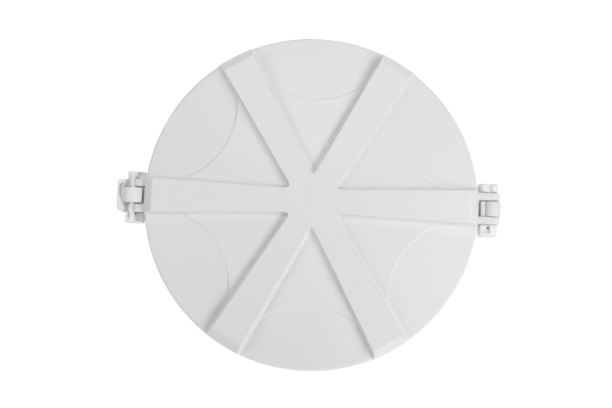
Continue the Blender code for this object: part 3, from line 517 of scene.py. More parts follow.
def screw_mesh(length, place):
    """A screw whose head stands on the place, with its shank going down from it."""
    head = [
        (0.0, SCREW_HEAD_HEIGHT),
        (SCREW_HEAD_RADIUS * 0.35, SCREW_HEAD_HEIGHT * 0.97),
        (SCREW_HEAD_RADIUS * 0.65, SCREW_HEAD_HEIGHT * 0.86),
        (SCREW_HEAD_RADIUS * 0.87, SCREW_HEAD_HEIGHT * 0.64),
        (SCREW_HEAD_RADIUS * 0.97, SCREW_HEAD_HEIGHT * 0.36),
        (SCREW_HEAD_RADIUS, SCREW_HEAD_HEIGHT * 0.12),
        (SCREW_HEAD_RADIUS * 0.96, 0.0),
        (SHANK_RADIUS, 0.0),
        (SHANK_RADIUS, -length + POINT_LENGTH),
        (SHANK_RADIUS * 0.45, -length + 0.0012),
        (0.0, -length),
    ]
    bm = bmesh.new()
    verts = [bm.verts.new((r, 0.0, z)) for r, z in head]
    edges = [bm.edges.new(pair) for pair in zip(verts, verts[1:])]
    bmesh.ops.spin(
        bm, geom=verts + edges, cent=(0, 0, 0), axis=(0, 0, 1), angle=math.tau, steps=24, use_merge=True
    )
    bmesh.ops.remove_doubles(bm, verts=bm.verts, dist=0.00001)
    bmesh.ops.recalc_face_normals(bm, faces=bm.faces)
    for turn in (0, 90):
        slot = bmesh.new()
        bmesh.ops.create_cube(slot, size=1.0)
        lift = Matrix.Translation((0, 0, CROSS_MIDDLE)) @ Matrix.Diagonal((*CROSS_SIZE, 1.0))
        placed = Matrix.Rotation(math.radians(turn), 4, "Z") @ lift
        bmesh.ops.transform(slot, matrix=placed, verts=slot.verts)
        for vert in slot.verts:
            if vert.co.z < CROSS_MIDDLE:
                vert.co.x *= CROSS_NARROWING
                vert.co.y *= CROSS_NARROWING
        bm = cut_from(bm, slot)
    thread = bmesh.new()
    reach = THREAD_PITCH * THREAD_RIDGE
    root = SHANK_RADIUS - THREAD_ROOT
    ridge = [(root, reach), (THREAD_RADIUS, 0.0), (root, -reach)]
    face = thread.faces.new([thread.verts.new((r, 0.0, z - THREAD_START)) for r, z in ridge])
    steps = round((length - THREAD_RUN_OUT) / THREAD_PITCH * THREAD_STEPS)
    bmesh.ops.spin(
        thread,
        geom=[face],
        cent=(0, 0, 0),
        axis=(0, 0, 1),
        dvec=(0, 0, -THREAD_PITCH / THREAD_STEPS),
        angle=math.tau * steps / THREAD_STEPS,
        steps=steps,
    )
    bmesh.ops.recalc_face_normals(thread, faces=thread.faces)
    add_mesh(bm, thread)
    bmesh.ops.transform(bm, matrix=place, verts=bm.verts)
    return bm


steel = turned_steel("stainless_steel", STEEL_GREY, seed=20.2)
screws = []
for i in range(COLLAR_SCREWS):
    turn = at_angle(math.tau * (i + 0.5) / COLLAR_SCREWS)
    seat = turn @ Matrix.Translation((SCREW_SEAT_RADIUS, 0.0, COLLAR_SCREW_HEIGHT))
    screws.append(("collar_screw_%d" % (i + 1), seat, COLLAR_SCREW_LENGTH))
for node, turn in (("hinge_bracket_screw_%d", 0.0), ("keeper_screw_%d", math.pi)):
    for i in range(2):
        y = SADDLE_SCREW_OFFSET * (1 - 2 * i)
        face = SADDLE_FACE + SADDLE_BOSS_PROUD
        seat = at_angle(turn) @ Matrix.Translation((face, y, SADDLE_SCREW_HEIGHT))
        screws.append((node % (i + 1), seat, SADDLE_SCREW_LENGTH))
for i, (node, seat, length) in enumerate(screws):
    twist = Matrix.Rotation(math.radians(SCREW_TURN_DEGREES * i), 4, "Z")
    mesh = screw_mesh(length, seat @ Matrix.Rotation(math.radians(90), 4, "Y") @ twist)
    screw = piece_from(mesh, node + "_turned", steel, 30)
    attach(screw, "collar")
    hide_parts(node)

# Lid shell: one moulding with six raised spokes, a shallow scallop between each two of them, a
# skirt that hangs over the collar, and a rib under the rim that presses on the seal. It is hollow
# underneath, where the spokes show as channels.
LID_WALL = 0.0035
PANEL_TOP = 0.066
SCALLOP_STEP = 0.0007
STEP_WIDTH = 0.0012
PANEL_FALL = 0.0437
SPOKE_TOP = 0.0747
SPOKE_HALF_WIDTH = 0.0149
SPOKE_WIDENING = 0.0346
SPOKE_END = 0.2130
SPOKE_END_STEEPNESS = 1.05
SPOKE_END_EDGE = 0.0020
SPOKE_FOOT_OFFSET = 0.0088
FLANK_HOLLOW = 5
HUB_MARK_RADIUS = 0.0095
HUB_MARK_EDGE = 0.0006
HUB_MARK_HEIGHT = 0.0003
SPOKE_EDGE_ROUND = 0.0022
PANEL_FLARE = 0.0003
RIM_FLARE = 0.0015
FLARE_FADE_START = 0.208
NOTCH_ROUND_AT_TOP = 0.0108
NOTCH_ROUND_AT_FOOT = 0.0032
RIM_ROUND = 0.004
SCALLOP_CENTRE = 0.246
SCALLOP_RADIUS = 0.107
HALF_SECTOR = math.radians(30)
SPOKES = 6
HOLLOW_TOP = SPOKE_TOP - LID_WALL
HOLLOW_END = 0.198
HOLLOW_END_STEEPNESS = 7.0
HOLLOW_STEEPNESS = 1.8
HOLLOW_ROUND = 0.0028
RIB_INNER = 0.2045
RIB_OUTER = 0.2085
RIB_BOTTOM = 0.0563
RIB_FLANK = 0.0006
LID_WHITE = (0.80, 0.80, 0.797)

lid_low, lid_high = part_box("lid_shell")
lid_radius = lid_high.y
skirt_bottom = lid_low.z
shoulder_radius = lid_radius - RIM_ROUND
flat_radius = SCALLOP_CENTRE - SCALLOP_RADIUS
slant = math.hypot(1.0, SPOKE_WIDENING)


def smooth_least(a, b, width):
    """The lower of two heights, with a soft change from one to the other."""
    blend = max(width - abs(a - b), 0.0) / width
    return min(a, b) - blend * blend * width / 4


def smooth_most(a, b, width):
    return -smooth_least(-a, -b, width)


def clamped(share):
    return min(max(share, 0.0), 1.0)


def eased(share):
    """A share from 0 to 1 that starts and ends softly."""
    share = clamped(share)
    return share * share * (3 - 2 * share)


def past_spoke(radius, angle):
    """How far a point lies outside the top edges of the two spokes beside it."""
    own, other = (
        radius * (math.sin(turn) - SPOKE_WIDENING * math.cos(turn)) - SPOKE_HALF_WIDTH
        for turn in (angle, 2 * HALF_SECTOR - angle)
    )
    own /= slant
    other /= slant
    share = clamped(min(own, other) / SPOKE_FOOT_OFFSET)
    notch = NOTCH_ROUND_AT_TOP + (NOTCH_ROUND_AT_FOOT - NOTCH_ROUND_AT_TOP) * share
    return smooth_least(own, other, notch)


def panel_floor(radius):
    """The height of the scallop's floor, which falls evenly towards the rim."""
    return PANEL_TOP - SCALLOP_STEP - PANEL_FALL * max(radius - flat_radius, 0.0)


def panel_height(radius, angle):
    """The flat middle at one level, and past the scallop's arc the floor that falls to the rim."""
    off_middle = HALF_SECTOR - angle
    x = radius * math.cos(off_middle) - SCALLOP_CENTRE
    y = radius * math.sin(off_middle)
    inside = SCALLOP_RADIUS - math.hypot(x, y)
    share = eased((inside + STEP_WIDTH) / (2 * STEP_WIDTH))
    return PANEL_TOP + (panel_floor(radius) - PANEL_TOP) * share


def spoke_rise(radius, angle, rise):
    """The spoke over the panel: a flat top with the gate's mark, hollow flanks and a sloped end."""
    side = rise * (1 - past_spoke(radius, angle) / SPOKE_FOOT_OFFSET) ** FLANK_HOLLOW
    rise += HUB_MARK_HEIGHT * eased((HUB_MARK_RADIUS + HUB_MARK_EDGE - radius) / (2 * HUB_MARK_EDGE))
    end = rise - SPOKE_END_STEEPNESS * (radius * math.cos(angle) - SPOKE_END)
    past_edge = min(max(radius - lid_radius + SPOKE_END_EDGE, 0.0), SPOKE_END_EDGE)
    end -= SPOKE_END_EDGE - math.sqrt(SPOKE_END_EDGE**2 - past_edge**2)
    return smooth_least(smooth_least(side, rise, SPOKE_EDGE_ROUND), end, SPOKE_EDGE_ROUND)


def top_height(radius, angle, rim_drop):
    """The lid's upper side. Past the shoulder the panel drops away round the rim."""
    panel = panel_height(radius, angle)
    if radius > shoulder_radius:
        panel = panel_floor(shoulder_radius) - rim_drop
    near_rim = clamped((radius - FLARE_FADE_START) / (shoulder_radius - FLARE_FADE_START))
    flare = PANEL_FLARE + (RIM_FLARE - PANEL_FLARE) * near_rim
    return panel + smooth_most(spoke_rise(radius, angle, SPOKE_TOP - panel), 0.0, flare)


def underside_height(radius, angle):
    """The lid's inner side: a flat floor with a channel under each spoke."""
    floor = panel_floor(radius) - LID_WALL
    wall = LID_WALL * math.hypot(1.0, HOLLOW_STEEPNESS)
    side = SPOKE_TOP - wall - HOLLOW_STEEPNESS * past_spoke(radius, angle)
    end = HOLLOW_TOP - HOLLOW_END_STEEPNESS * (radius * math.cos(angle) - HOLLOW_END)
    hollow = smooth_least(smooth_least(side, HOLLOW_TOP, SPOKE_EDGE_ROUND), end, SPOKE_EDGE_ROUND)
    return smooth_most(hollow, floor, HOLLOW_ROUND)


def edge_angle(radius, outward):
    """The angle at which a circle meets a line that runs outward of the spoke's top edge."""
    reach = (SPOKE_HALF_WIDTH + outward * slant) / (max(radius, 0.001) * slant)
    return math.atan(SPOKE_WIDENING) + math.asin(min(reach, 1.0))


COLUMNS_ON_SPOKE = 8
COLUMNS_ON_SLOPE = 18
COLUMNS_ON_PANEL = 8
COLUMNS = COLUMNS_ON_SPOKE + COLUMNS_ON_SLOPE + COLUMNS_ON_PANEL
SLOPE_FROM = -0.0010
SLOPE_TO = 0.0098
SLOPE_CROWDING = 1.4
WIDEST_SPOKE = 0.80 * HALF_SECTOR
WIDEST_SLOPE = 0.93 * HALF_SECTOR
BENT_FROM = 0.060
BENT_TO = 0.216
FULLY_BENT = 0.004
WIDEST_ON_ARC = math.radians(21)


def column_angle(radius, column):
    """Columns are close together down the spoke's side, and wide apart on the flats."""
    upper = min(edge_angle(radius, SLOPE_FROM), WIDEST_SPOKE)
    lower = min(edge_angle(radius, SLOPE_TO), WIDEST_SLOPE)
    if column <= COLUMNS_ON_SPOKE:
        return upper * column / COLUMNS_ON_SPOKE
    if column <= COLUMNS_ON_SPOKE + COLUMNS_ON_SLOPE:
        share = ((column - COLUMNS_ON_SPOKE) / COLUMNS_ON_SLOPE) ** SLOPE_CROWDING
        return upper + (lower - upper) * share
    share = (column - COLUMNS_ON_SPOKE - COLUMNS_ON_SLOPE) / COLUMNS_ON_PANEL
    return lower + (HALF_SECTOR - lower) * share


def along_arc(ring, column):
    """Bends the rings near the scallop so that one of them follows its arc."""
    strength = min(
        (ring - BENT_FROM) / (flat_radius - FULLY_BENT - BENT_FROM),
        (BENT_TO - ring) / (BENT_TO - FULLY_BENT - flat_radius),
        1.0,
    )
    if strength <= 0.0:
        return ring
    radius = ring
    for _ in range(6):
        off_middle = min(HALF_SECTOR - column_angle(radius, column), WIDEST_ON_ARC)
        chord = SCALLOP_CENTRE * math.sin(off_middle)
        on_arc = SCALLOP_CENTRE * math.cos(off_middle) - math.sqrt(SCALLOP_RADIUS**2 - chord**2)
        radius = ring + strength * (on_arc - flat_radius)
    return radius


def stops(*spans):
    """Places along a section, in spans of (start, end, number of steps)."""
    places = [spans[0][0]]
    for start, end, count in spans:
        places += [start + (end - start) * (i + 1) / count for i in range(count)]
    return places


RIM_STEPS = 10
SKIRT_TOP = 0.0562
SKIRT_ROWS = (0.052, 0.046, 0.040)
INNER_CORNER = 0.0015
SKIRT_EDGE = 0.0008
SKIRT_EDGE_CORNER = 0.0002
# The rings lie close together at the mark in the middle, in the notches between the spokes, along
# the scallops' arcs and near the rim.
top_rings = stops(
    (0.0, 0.0085, 2),
    (0.0085, 0.0105, 5),
    (0.0105, 0.034, 6),
    (0.034, 0.056, 26),
    (0.056, 0.134, 26),
    (0.134, 0.144, 16),
    (0.144, 0.212, 26),
    (0.212, shoulder_radius, 16),
)
inner_wall = lid_radius - LID_WALL
corner_height = panel_floor(shoulder_radius) - LID_WALL
skirt_section = [(lid_radius, height) for height in (SKIRT_TOP, *SKIRT_ROWS)]
skirt_section += [
    (lid_radius, skirt_bottom + SKIRT_EDGE),
    (lid_radius - SKIRT_EDGE_CORNER, skirt_bottom + SKIRT_EDGE_CORNER),
    (lid_radius - SKIRT_EDGE, skirt_bottom),
    (inner_wall + SKIRT_EDGE, skirt_bottom),
    (inner_wall + SKIRT_EDGE_CORNER, skirt_bottom + SKIRT_EDGE_CORNER),
    (inner_wall, skirt_bottom + SKIRT_EDGE),
]
skirt_section += [(inner_wall, height) for height in reversed(SKIRT_ROWS)]
skirt_section += [
    (inner_wall, corner_height - INNER_CORNER),
    (inner_wall - 0.0004, corner_height - 0.0005),
    (inner_wall - INNER_CORNER, corner_height),
]
under_rings = stops(
    (0.214, RIB_OUTER + RIB_FLANK, 2),
    (RIB_OUTER + RIB_FLANK, RIB_OUTER, 1),
    (RIB_INNER, RIB_INNER - RIB_FLANK, 1),
    (RIB_INNER - RIB_FLANK, 0.2005, 2),
    (0.2005, 0.1955, 10),
    (0.1955, 0.064, 24),
    (0.064, 0.034, 22),
    (0.034, 0.0, 6),
)


def section_point(row, column):
    """A point of the shell: over the top, round the rim, down the skirt and back underneath."""
    if row < len(top_rings):
        radius = along_arc(top_rings[row], column)
        angle = column_angle(radius, column)
        return radius, angle, top_height(radius, angle, 0.0)
    row -= len(top_rings)
    if row < RIM_STEPS:
        turn = math.radians(90) * (row + 1) / RIM_STEPS
        angle = column_angle(lid_radius, column)
        radius = shoulder_radius + RIM_ROUND * math.sin(turn)
        return radius, angle, top_height(radius, angle, RIM_ROUND * (1 - math.cos(turn)))
    row -= RIM_STEPS
    if row < len(skirt_section):
        radius, height = skirt_section[row]
        return radius, column_angle(lid_radius, column), height
    row -= len(skirt_section)
    radius = under_rings[row]
    angle = column_angle(radius, column)
    height = underside_height(radius, angle)
    if RIB_INNER <= radius <= RIB_OUTER:
        height = RIB_BOTTOM
    return radius, angle, height


rows = len(top_rings) + RIM_STEPS + len(skirt_section) + len(under_rings)
lid_mesh = bmesh.new()
bmesh.ops.create_grid(lid_mesh, x_segments=rows - 1, y_segments=COLUMNS, size=1.0)
for vert in lid_mesh.verts:
    row = round((vert.co.x + 1) / 2 * (rows - 1))
    column = round((vert.co.y + 1) / 2 * COLUMNS)
    radius, angle, height = section_point(row, column)
    vert.co = (radius * math.cos(angle), radius * math.sin(angle), height)
bmesh.ops.mirror(
    lid_mesh,
    geom=lid_mesh.verts[:] + lid_mesh.edges[:] + lid_mesh.faces[:],
    axis="Y",
    merge_dist=0.000001,
)
bmesh.ops.spin(
    lid_mesh,
    geom=lid_mesh.verts[:] + lid_mesh.edges[:] + lid_mesh.faces[:],
    cent=(0, 0, 0),
    axis=(0, 0, 1),
    angle=math.tau * (SPOKES - 1) / SPOKES,
    steps=SPOKES - 1,
    use_duplicate=True,
)
bmesh.ops.remove_doubles(lid_mesh, verts=lid_mesh.verts, dist=0.000002)
bmesh.ops.recalc_face_normals(lid_mesh, faces=lid_mesh.faces)

EAR_EDGE = 0.0014
HINGE_EAR_RADIUS = 0.0109
HINGE_EAR_SPAN = (0.011, 0.0215)
LATCH_EAR_RADIUS = 0.0115
LATCH_EAR_SPAN = (0.0123, 0.0225)
SEAT_ABOVE_PIN = 0.0022
EAR_SHOULDER = 0.0070
EAR_SHOULDER_FALL = 0.0006
EAR_SHOULDER_REACH = 0.0022
EAR_TOP_REACH = 0.0008
EAR_ROOT = 0.0025
SEAT_LIP_INNER = 0.0046
SEAT_LIP_OUTER = 0.0044
seat_edge = math.degrees(math.asin(SEAT_ABOVE_PIN / PIN_BORE))
for side in (1, -1):
    hinge_ear = [
        (lid_radius - EAR_ROOT, hinge_axis.z + HINGE_EAR_RADIUS),
        (lid_radius - EAR_ROOT, hinge_axis.z - HINGE_EAR_RADIUS),
    ]
    hinge_ear += arc((hinge_axis.x, hinge_axis.z), HINGE_EAR_RADIUS, -90, 90, 32)
    inner, outer = HINGE_EAR_SPAN
    place = in_side_view(side * (inner + outer) / 2)
    add_mesh(lid_mesh, plate(hinge_ear, outer - inner, place, EAR_EDGE, 3, pin_hole))
    latch_ear = [
        (-lid_radius + EAR_ROOT, latch_axis.z - LATCH_EAR_RADIUS),
        (-lid_radius + EAR_ROOT, latch_axis.z + LATCH_EAR_RADIUS),
        (-lid_radius - EAR_TOP_REACH, latch_axis.z + LATCH_EAR_RADIUS),
        (-lid_radius - EAR_SHOULDER_REACH, latch_axis.z + EAR_SHOULDER),
        (latch_axis.x + SEAT_LIP_INNER, latch_axis.z + EAR_SHOULDER - EAR_SHOULDER_FALL),
    ]
    latch_ear += arc((latch_axis.x, latch_axis.z), PIN_BORE, seat_edge, -180 - seat_edge, 20)
    latch_ear += [(latch_axis.x - SEAT_LIP_OUTER, latch_axis.z + SEAT_ABOVE_PIN)]
    latch_ear += arc((latch_axis.x, latch_axis.z), LATCH_EAR_RADIUS, 196, 270, 16)
    inner, outer = LATCH_EAR_SPAN
    place = in_side_view(side * (inner + outer) / 2)
    add_mesh(lid_mesh, plate(latch_ear, outer - inner, place, 0.0006))
lid_white = moulded_plastic("lid_polypropylene", LID_WHITE, roughness=0.42, seed=7.7)
lid = piece_from(lid_mesh, "lid_moulding", lid_white, 35)
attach(lid, "lid")
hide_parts("lid_shell")

# Hinge pin: a nylon rod that goes through the lid's ears and the bracket's barrel, moulded with a
# grip of two round lobes at one end. A hollow cap with a hole for a seal wire holds the other end.
PIN_WHITE = (0.84, 0.84, 0.837)
ROD_END_ROUND = 0.0006
ROD_IN_HEAD = 0.004
HEAD_SHIFT = 0.0025
HEAD_REACH = 0.0026
LOBE_LENGTH = 0.0123
LOBE_ROUND = 0.0030
LOBE_SPLIT = 0.0035
LOBE_OVERLAP = 0.0004
LOBE_TRIM = 0.0004
WEB_HALF_WIDTH = 0.004
WEB_TOP = 0.0066
WEB_BOTTOM = 0.0072
WEB_SET_BACK = 0.0012
CAP_TRIM = 0.0035
CAP_HOLE = (0.0068, 0.0045)
POCKET_DEPTH = 0.0035
POCKET_LENGTH = 0.0115
POCKET_WALL = 0.0014
POCKET_SIDE_WALL = 0.0018
POCKET_TO_ROD = 0.0008
BLOCK_EDGE_ROUND = 0.0011
WIRE_HOLE_RADIUS = 0.0013
WIRE_HOLE_FLOOR = 0.0015
PAST_FACE = 0.002


def turned_rod(radius, low_y, high_y, centre):
    """A round rod along Y with rounded ends."""
    length = high_y - low_y
    bm = bmesh.new()
    bmesh.ops.create_cone(
        bm, cap_ends=True, segments=48, radius1=radius, radius2=radius, depth=length
    )
    rims = [edge for edge in bm.edges if edge.calc_face_angle(0.0) > math.radians(60)]
    bmesh.ops.bevel(
        bm,
        geom=rims,
        offset=ROD_END_ROUND,
        segments=3,
        profile=0.5,
        affect="EDGES",
        material=-1,
        clamp_overlap=True,
    )
    place = Matrix.Translation((centre.x, (low_y + high_y) / 2, centre.z))
    bmesh.ops.transform(bm, matrix=place @ Matrix.Rotation(math.radians(90), 4, "X"), verts=bm.verts)
    return bm


def box_cutter(low, high):
    """A plain box that is cut out of a piece."""
    bm = bmesh.new()
    bmesh.ops.create_cube(bm, size=1.0)
    size = [high[i] - low[i] for i in range(3)]
    middle = [(high[i] + low[i]) / 2 for i in range(3)]
    place = Matrix.Translation(middle) @ Matrix.Diagonal((*size, 1.0))
    bmesh.ops.transform(bm, matrix=place, verts=bm.verts)
    return bm


def wire_drill(x, y, block_bottom, high_z):
    """A drill for a seal wire's hole, which stops short of the block's underside."""
    low_z = block_bottom + WIRE_HOLE_FLOOR
    bm = bmesh.new()
    bmesh.ops.create_cone(
        bm,
        cap_ends=True,
        segments=20,
        radius1=WIRE_HOLE_RADIUS,
        radius2=WIRE_HOLE_RADIUS,
        depth=high_z - low_z,
    )
    bmesh.ops.translate(bm, vec=(x, y, (low_z + high_z) / 2), verts=bm.verts)
    return bm


def rounded_box_outline(low, high, corners):
    """A rectangle in plan with its own round at each corner, from the lower left one on."""
    centres = (
        (low[0], low[1], 1, 1, 180),
        (high[0], low[1], -1, 1, 270),
        (high[0], high[1], -1, -1, 0),
        (low[0], high[1], 1, -1, 90),
    )
    outline = []
    for (x, y, towards_x, towards_y, start), radius in zip(centres, corners):
        centre = (x + towards_x * radius, y + towards_y * radius)
        outline += arc(centre, radius, start, start + 90, 8)
    return outline


pin_white = moulded_plastic("pin_nylon", PIN_WHITE, roughness=0.32, seed=15.8)
pin_low, pin_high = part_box("hinge_pin")
head_top = pin_high.y + HEAD_REACH
head_face = head_top - LOBE_LENGTH
pin_mesh = turned_rod(PIN_RADIUS, pin_low.y, head_face + ROD_IN_HEAD, hinge_axis)
lobe_split = hinge_axis.x - LOBE_SPLIT - HEAD_SHIFT / 2
for left, right, top in (
    (pin_low.x - HEAD_SHIFT, lobe_split + LOBE_OVERLAP, pin_high.z - LOBE_TRIM),
    (lobe_split - LOBE_OVERLAP, pin_high.x - HEAD_SHIFT, pin_high.z),
):
    half = (right - left) / 2
    rise = top - hinge_axis.z - half
    lobe = arc(((left + right) / 2, hinge_axis.z + rise), half, 0, 180, 24)
    lobe += arc(((left + right) / 2, hinge_axis.z - rise), half, 180, 360, 24)
    lobe_place = in_side_view((head_face + head_top) / 2)
    add_mesh(pin_mesh, plate(lobe, LOBE_LENGTH, lobe_place, LOBE_ROUND, 5))
web = rounded_box_outline(
    (lobe_split - WEB_HALF_WIDTH, hinge_axis.z - WEB_BOTTOM),
    (lobe_split + WEB_HALF_WIDTH, hinge_axis.z + WEB_TOP),
    (0.001,) * 4,
)
web_place = in_side_view(head_face + (LOBE_LENGTH - WEB_SET_BACK) / 2)
add_mesh(pin_mesh, plate(web, LOBE_LENGTH - WEB_SET_BACK, web_place, 0.0004, 2))
hinge_pin = piece_from(pin_mesh, "hinge_cross_pin", pin_white)
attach(hinge_pin, "lid")
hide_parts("hinge_pin")

cap_low, cap_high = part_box("hinge_pin_cap")
cap_right = Vector((cap_high.x - CAP_TRIM, cap_high.y))
cap_outline = rounded_box_outline(cap_low, cap_right, (0.0038, 0.0038, 0.0012, 0.0012))
cap_place = Matrix.Translation((0, 0, (cap_low.z + cap_high.z) / 2))
cap_block = plate(cap_outline, cap_high.z - cap_low.z, cap_place, BLOCK_EDGE_ROUND, 4)
pocket = box_cutter(
    (cap_low.x + POCKET_SIDE_WALL, cap_high.y - POCKET_LENGTH, cap_high.z - POCKET_DEPTH),
    (hinge_axis.x - PIN_RADIUS - POCKET_TO_ROD, cap_high.y - POCKET_WALL, cap_high.z + PAST_FACE),
)
cap_drill = wire_drill(hinge_axis.x - CAP_HOLE[0], cap_high.y - CAP_HOLE[1], cap_low.z, cap_high.z)
cap_mesh = cut_from(cut_from(cap_block, pocket), cap_drill)
hinge_cap = piece_from(cap_mesh, "hinge_pin_end_cap", pin_white, 30)
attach(hinge_cap, "lid")
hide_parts("hinge_pin_cap")

# Latch lever: one smooth white moulding, with a barrel on the pin, a finger lip outboard of it to
# pull up by, and a tail that reaches down and snaps over the keeper's nose.
LATCH_WHITE = (0.82, 0.82, 0.817)
LATCH_BARREL_RADIUS = 0.0129
BARREL_SHOULDER = 0.0132
LATCH_BARREL_LENGTH = 0.0198
LIP_INNER = -0.2557
LIP_OVERHANG = -0.2490
LIP_BOTTOM = 0.026
LIP_TOP = 0.057
LIP_EDGE_ROUND = 0.0015
EAR_CLEARANCE_RADIUS = 0.0127
CUT_HALF_LENGTH = 0.03
CUT_INNER = -0.24
CUTTER_HEIGHT = 0.020
SLOT_FIT = 0.0001
RECESS_LEFT = -0.2608
RECESS_FLOOR = 0.0490
RECESS_SLOPE = 1.0
RAMP_RUN = 0.0102
LIP_CORNER = 0.0062
TAIL_OUTER = -0.2567
TAIL_INNER = -0.2499
CHEEK_TOP = 0.0375
CHEEK_BOTTOM = 0.0270
CHEEK_HALF_WIDTH = 0.0150
lever_low, lever_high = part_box("latch_lever")
barrel_end = LATCH_BARREL_LENGTH / 2
latch_centre = (latch_axis.x, latch_axis.z)
barrel_disc = arc(latch_centre, LATCH_BARREL_RADIUS, 83, 305, 50)
barrel_disc += [
    (latch_axis.x + BARREL_SHOULDER, latch_axis.z - 0.0060),
    (latch_axis.x + BARREL_SHOULDER, latch_axis.z + 0.0086),
    (latch_axis.x + BARREL_SHOULDER - 0.0018, latch_axis.z + 0.00925),
    (latch_axis.x + 0.0030, latch_axis.z + 0.01230),
]
latch_hole = arc(latch_centre, PIN_BORE, 0, 345, 23)
lever_mesh = plate(barrel_disc, LATCH_BARREL_LENGTH, in_side_view(0.0), 0.0010, 4, latch_hole)
tail = [
    (TAIL_OUTER, latch_axis.z - 0.004),
    (TAIL_OUTER, lever_low.z + 0.003),
    (TAIL_OUTER + 0.003, lever_low.z),
    (TAIL_INNER - 0.0015, lever_low.z),
    (TAIL_INNER, lever_low.z + 0.0015),
    (TAIL_INNER, latch_axis.z - 0.019),
    (TAIL_INNER + 0.0012, latch_axis.z - 0.0155),
    (latch_axis.x - 0.004, latch_axis.z - 0.0112),
    (latch_axis.x - 0.003, latch_axis.z - 0.006),
    (latch_axis.x - 0.007, latch_axis.z - 0.004),
]
add_mesh(lever_mesh, plate(tail, LATCH_BARREL_LENGTH - 0.0002, in_side_view(0.0), 0.0008))
cheek = [
    (TAIL_OUTER, CHEEK_TOP),
    (TAIL_OUTER, CHEEK_BOTTOM),
    (TAIL_INNER - 0.0010, CHEEK_BOTTOM),
    (TAIL_INNER + 0.0006, CHEEK_TOP),
]
add_mesh(lever_mesh, plate(cheek, 2 * CHEEK_HALF_WIDTH, in_side_view(0.0), 0.0008))
lip_outline = rounded_box_outline(
    lever_low, (LIP_OVERHANG, lever_high.y), (LIP_CORNER, 0.0015, 0.0015, LIP_CORNER)
)
lip_place = Matrix.Translation((0, 0, (LIP_TOP + LIP_BOTTOM) / 2))
lip_mesh = plate(lip_outline, LIP_TOP - LIP_BOTTOM, lip_place, LIP_EDGE_ROUND, 4)
ear_room = turned_rod(EAR_CLEARANCE_RADIUS, -CUT_HALF_LENGTH, CUT_HALF_LENGTH, latch_axis)
tail_room = box_cutter(
    (LIP_INNER, -CUT_HALF_LENGTH, 0.020), (CUT_INNER, CUT_HALF_LENGTH, latch_axis.z - 0.004)
)
lip_mesh = cut_from(cut_from(lip_mesh, ear_room), tail_room)
for side in (1, -1):
    slot_ends = (side * (barrel_end + SLOT_FIT), side * (LATCH_EAR_SPAN[0] - SLOT_FIT))
    slot = box_cutter((LIP_INNER, min(slot_ends), 0.030), (CUT_INNER, max(slot_ends), 0.060))
    lip_mesh = cut_from(lip_mesh, slot)
# The finger recess in plan, from its outer edge inwards.
recess = [
    (0.0, 0.0135),
    (0.0, 0.0015),
    (0.0053, -0.0090),
    (0.0125, -0.0095),
    (0.0125, 0.0165),
    (0.0040, 0.0165),
]


def leaning(slope):
    """Slants a level plate so that it climbs towards the lid."""
    lean = Matrix.Identity(4)
    lean[2][0] = slope
    return lean


recess_middle = (RECESS_LEFT, 0.0, RECESS_FLOOR + CUTTER_HEIGHT / 2)
recess_place = Matrix.Translation(recess_middle) @ leaning(RECESS_SLOPE)
lip_mesh = cut_from(lip_mesh, plate(recess, CUTTER_HEIGHT, recess_place, 0.0007, 2))
ramp = [
    (RECESS_LEFT + 0.0004, RECESS_FLOOR - 0.0040),
    (RECESS_LEFT + 0.0004, RECESS_FLOOR + 0.0002),
    (RECESS_LEFT + RAMP_RUN, RECESS_FLOOR + RAMP_RUN * RECESS_SLOPE),
    (latch_axis.x - 0.0050, latch_axis.z + 0.0070),
    (latch_axis.x - 0.0080, latch_axis.z),
]
add_mesh(lever_mesh, plate(ramp, LATCH_BARREL_LENGTH - 0.0001, in_side_view(0.0), 0.0004))
add_mesh(lever_mesh, lip_mesh)
latch_white = moulded_plastic("latch_polypropylene", LATCH_WHITE, roughness=0.36, seed=17.3)
lever = piece_from(lever_mesh, "latch_lever_moulding", latch_white)
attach(lever, "latch")
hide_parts("latch_lever")

# Latch pin and its clips: a nylon rod that lies in the open seats of the lid's ears, and at each
# end a block pushed over it, with an open seat for the rod and a hole for a seal wire.
FLAT_OF_PIN = 0.0022
FLATTENING = 0.65
latch_pin_low, latch_pin_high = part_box("latch_pin")
latch_pin_mesh = turned_rod(PIN_RADIUS, latch_pin_low.y, latch_pin_high.y, latch_axis)
for vert in latch_pin_mesh.verts:
    over = vert.co.z - latch_axis.z - FLAT_OF_PIN
    if over > 0:
        vert.co.z -= FLATTENING * over
latch_pin = piece_from(latch_pin_mesh, "latch_cross_pin", pin_white)
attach(latch_pin, "lid")
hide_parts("latch_pin")

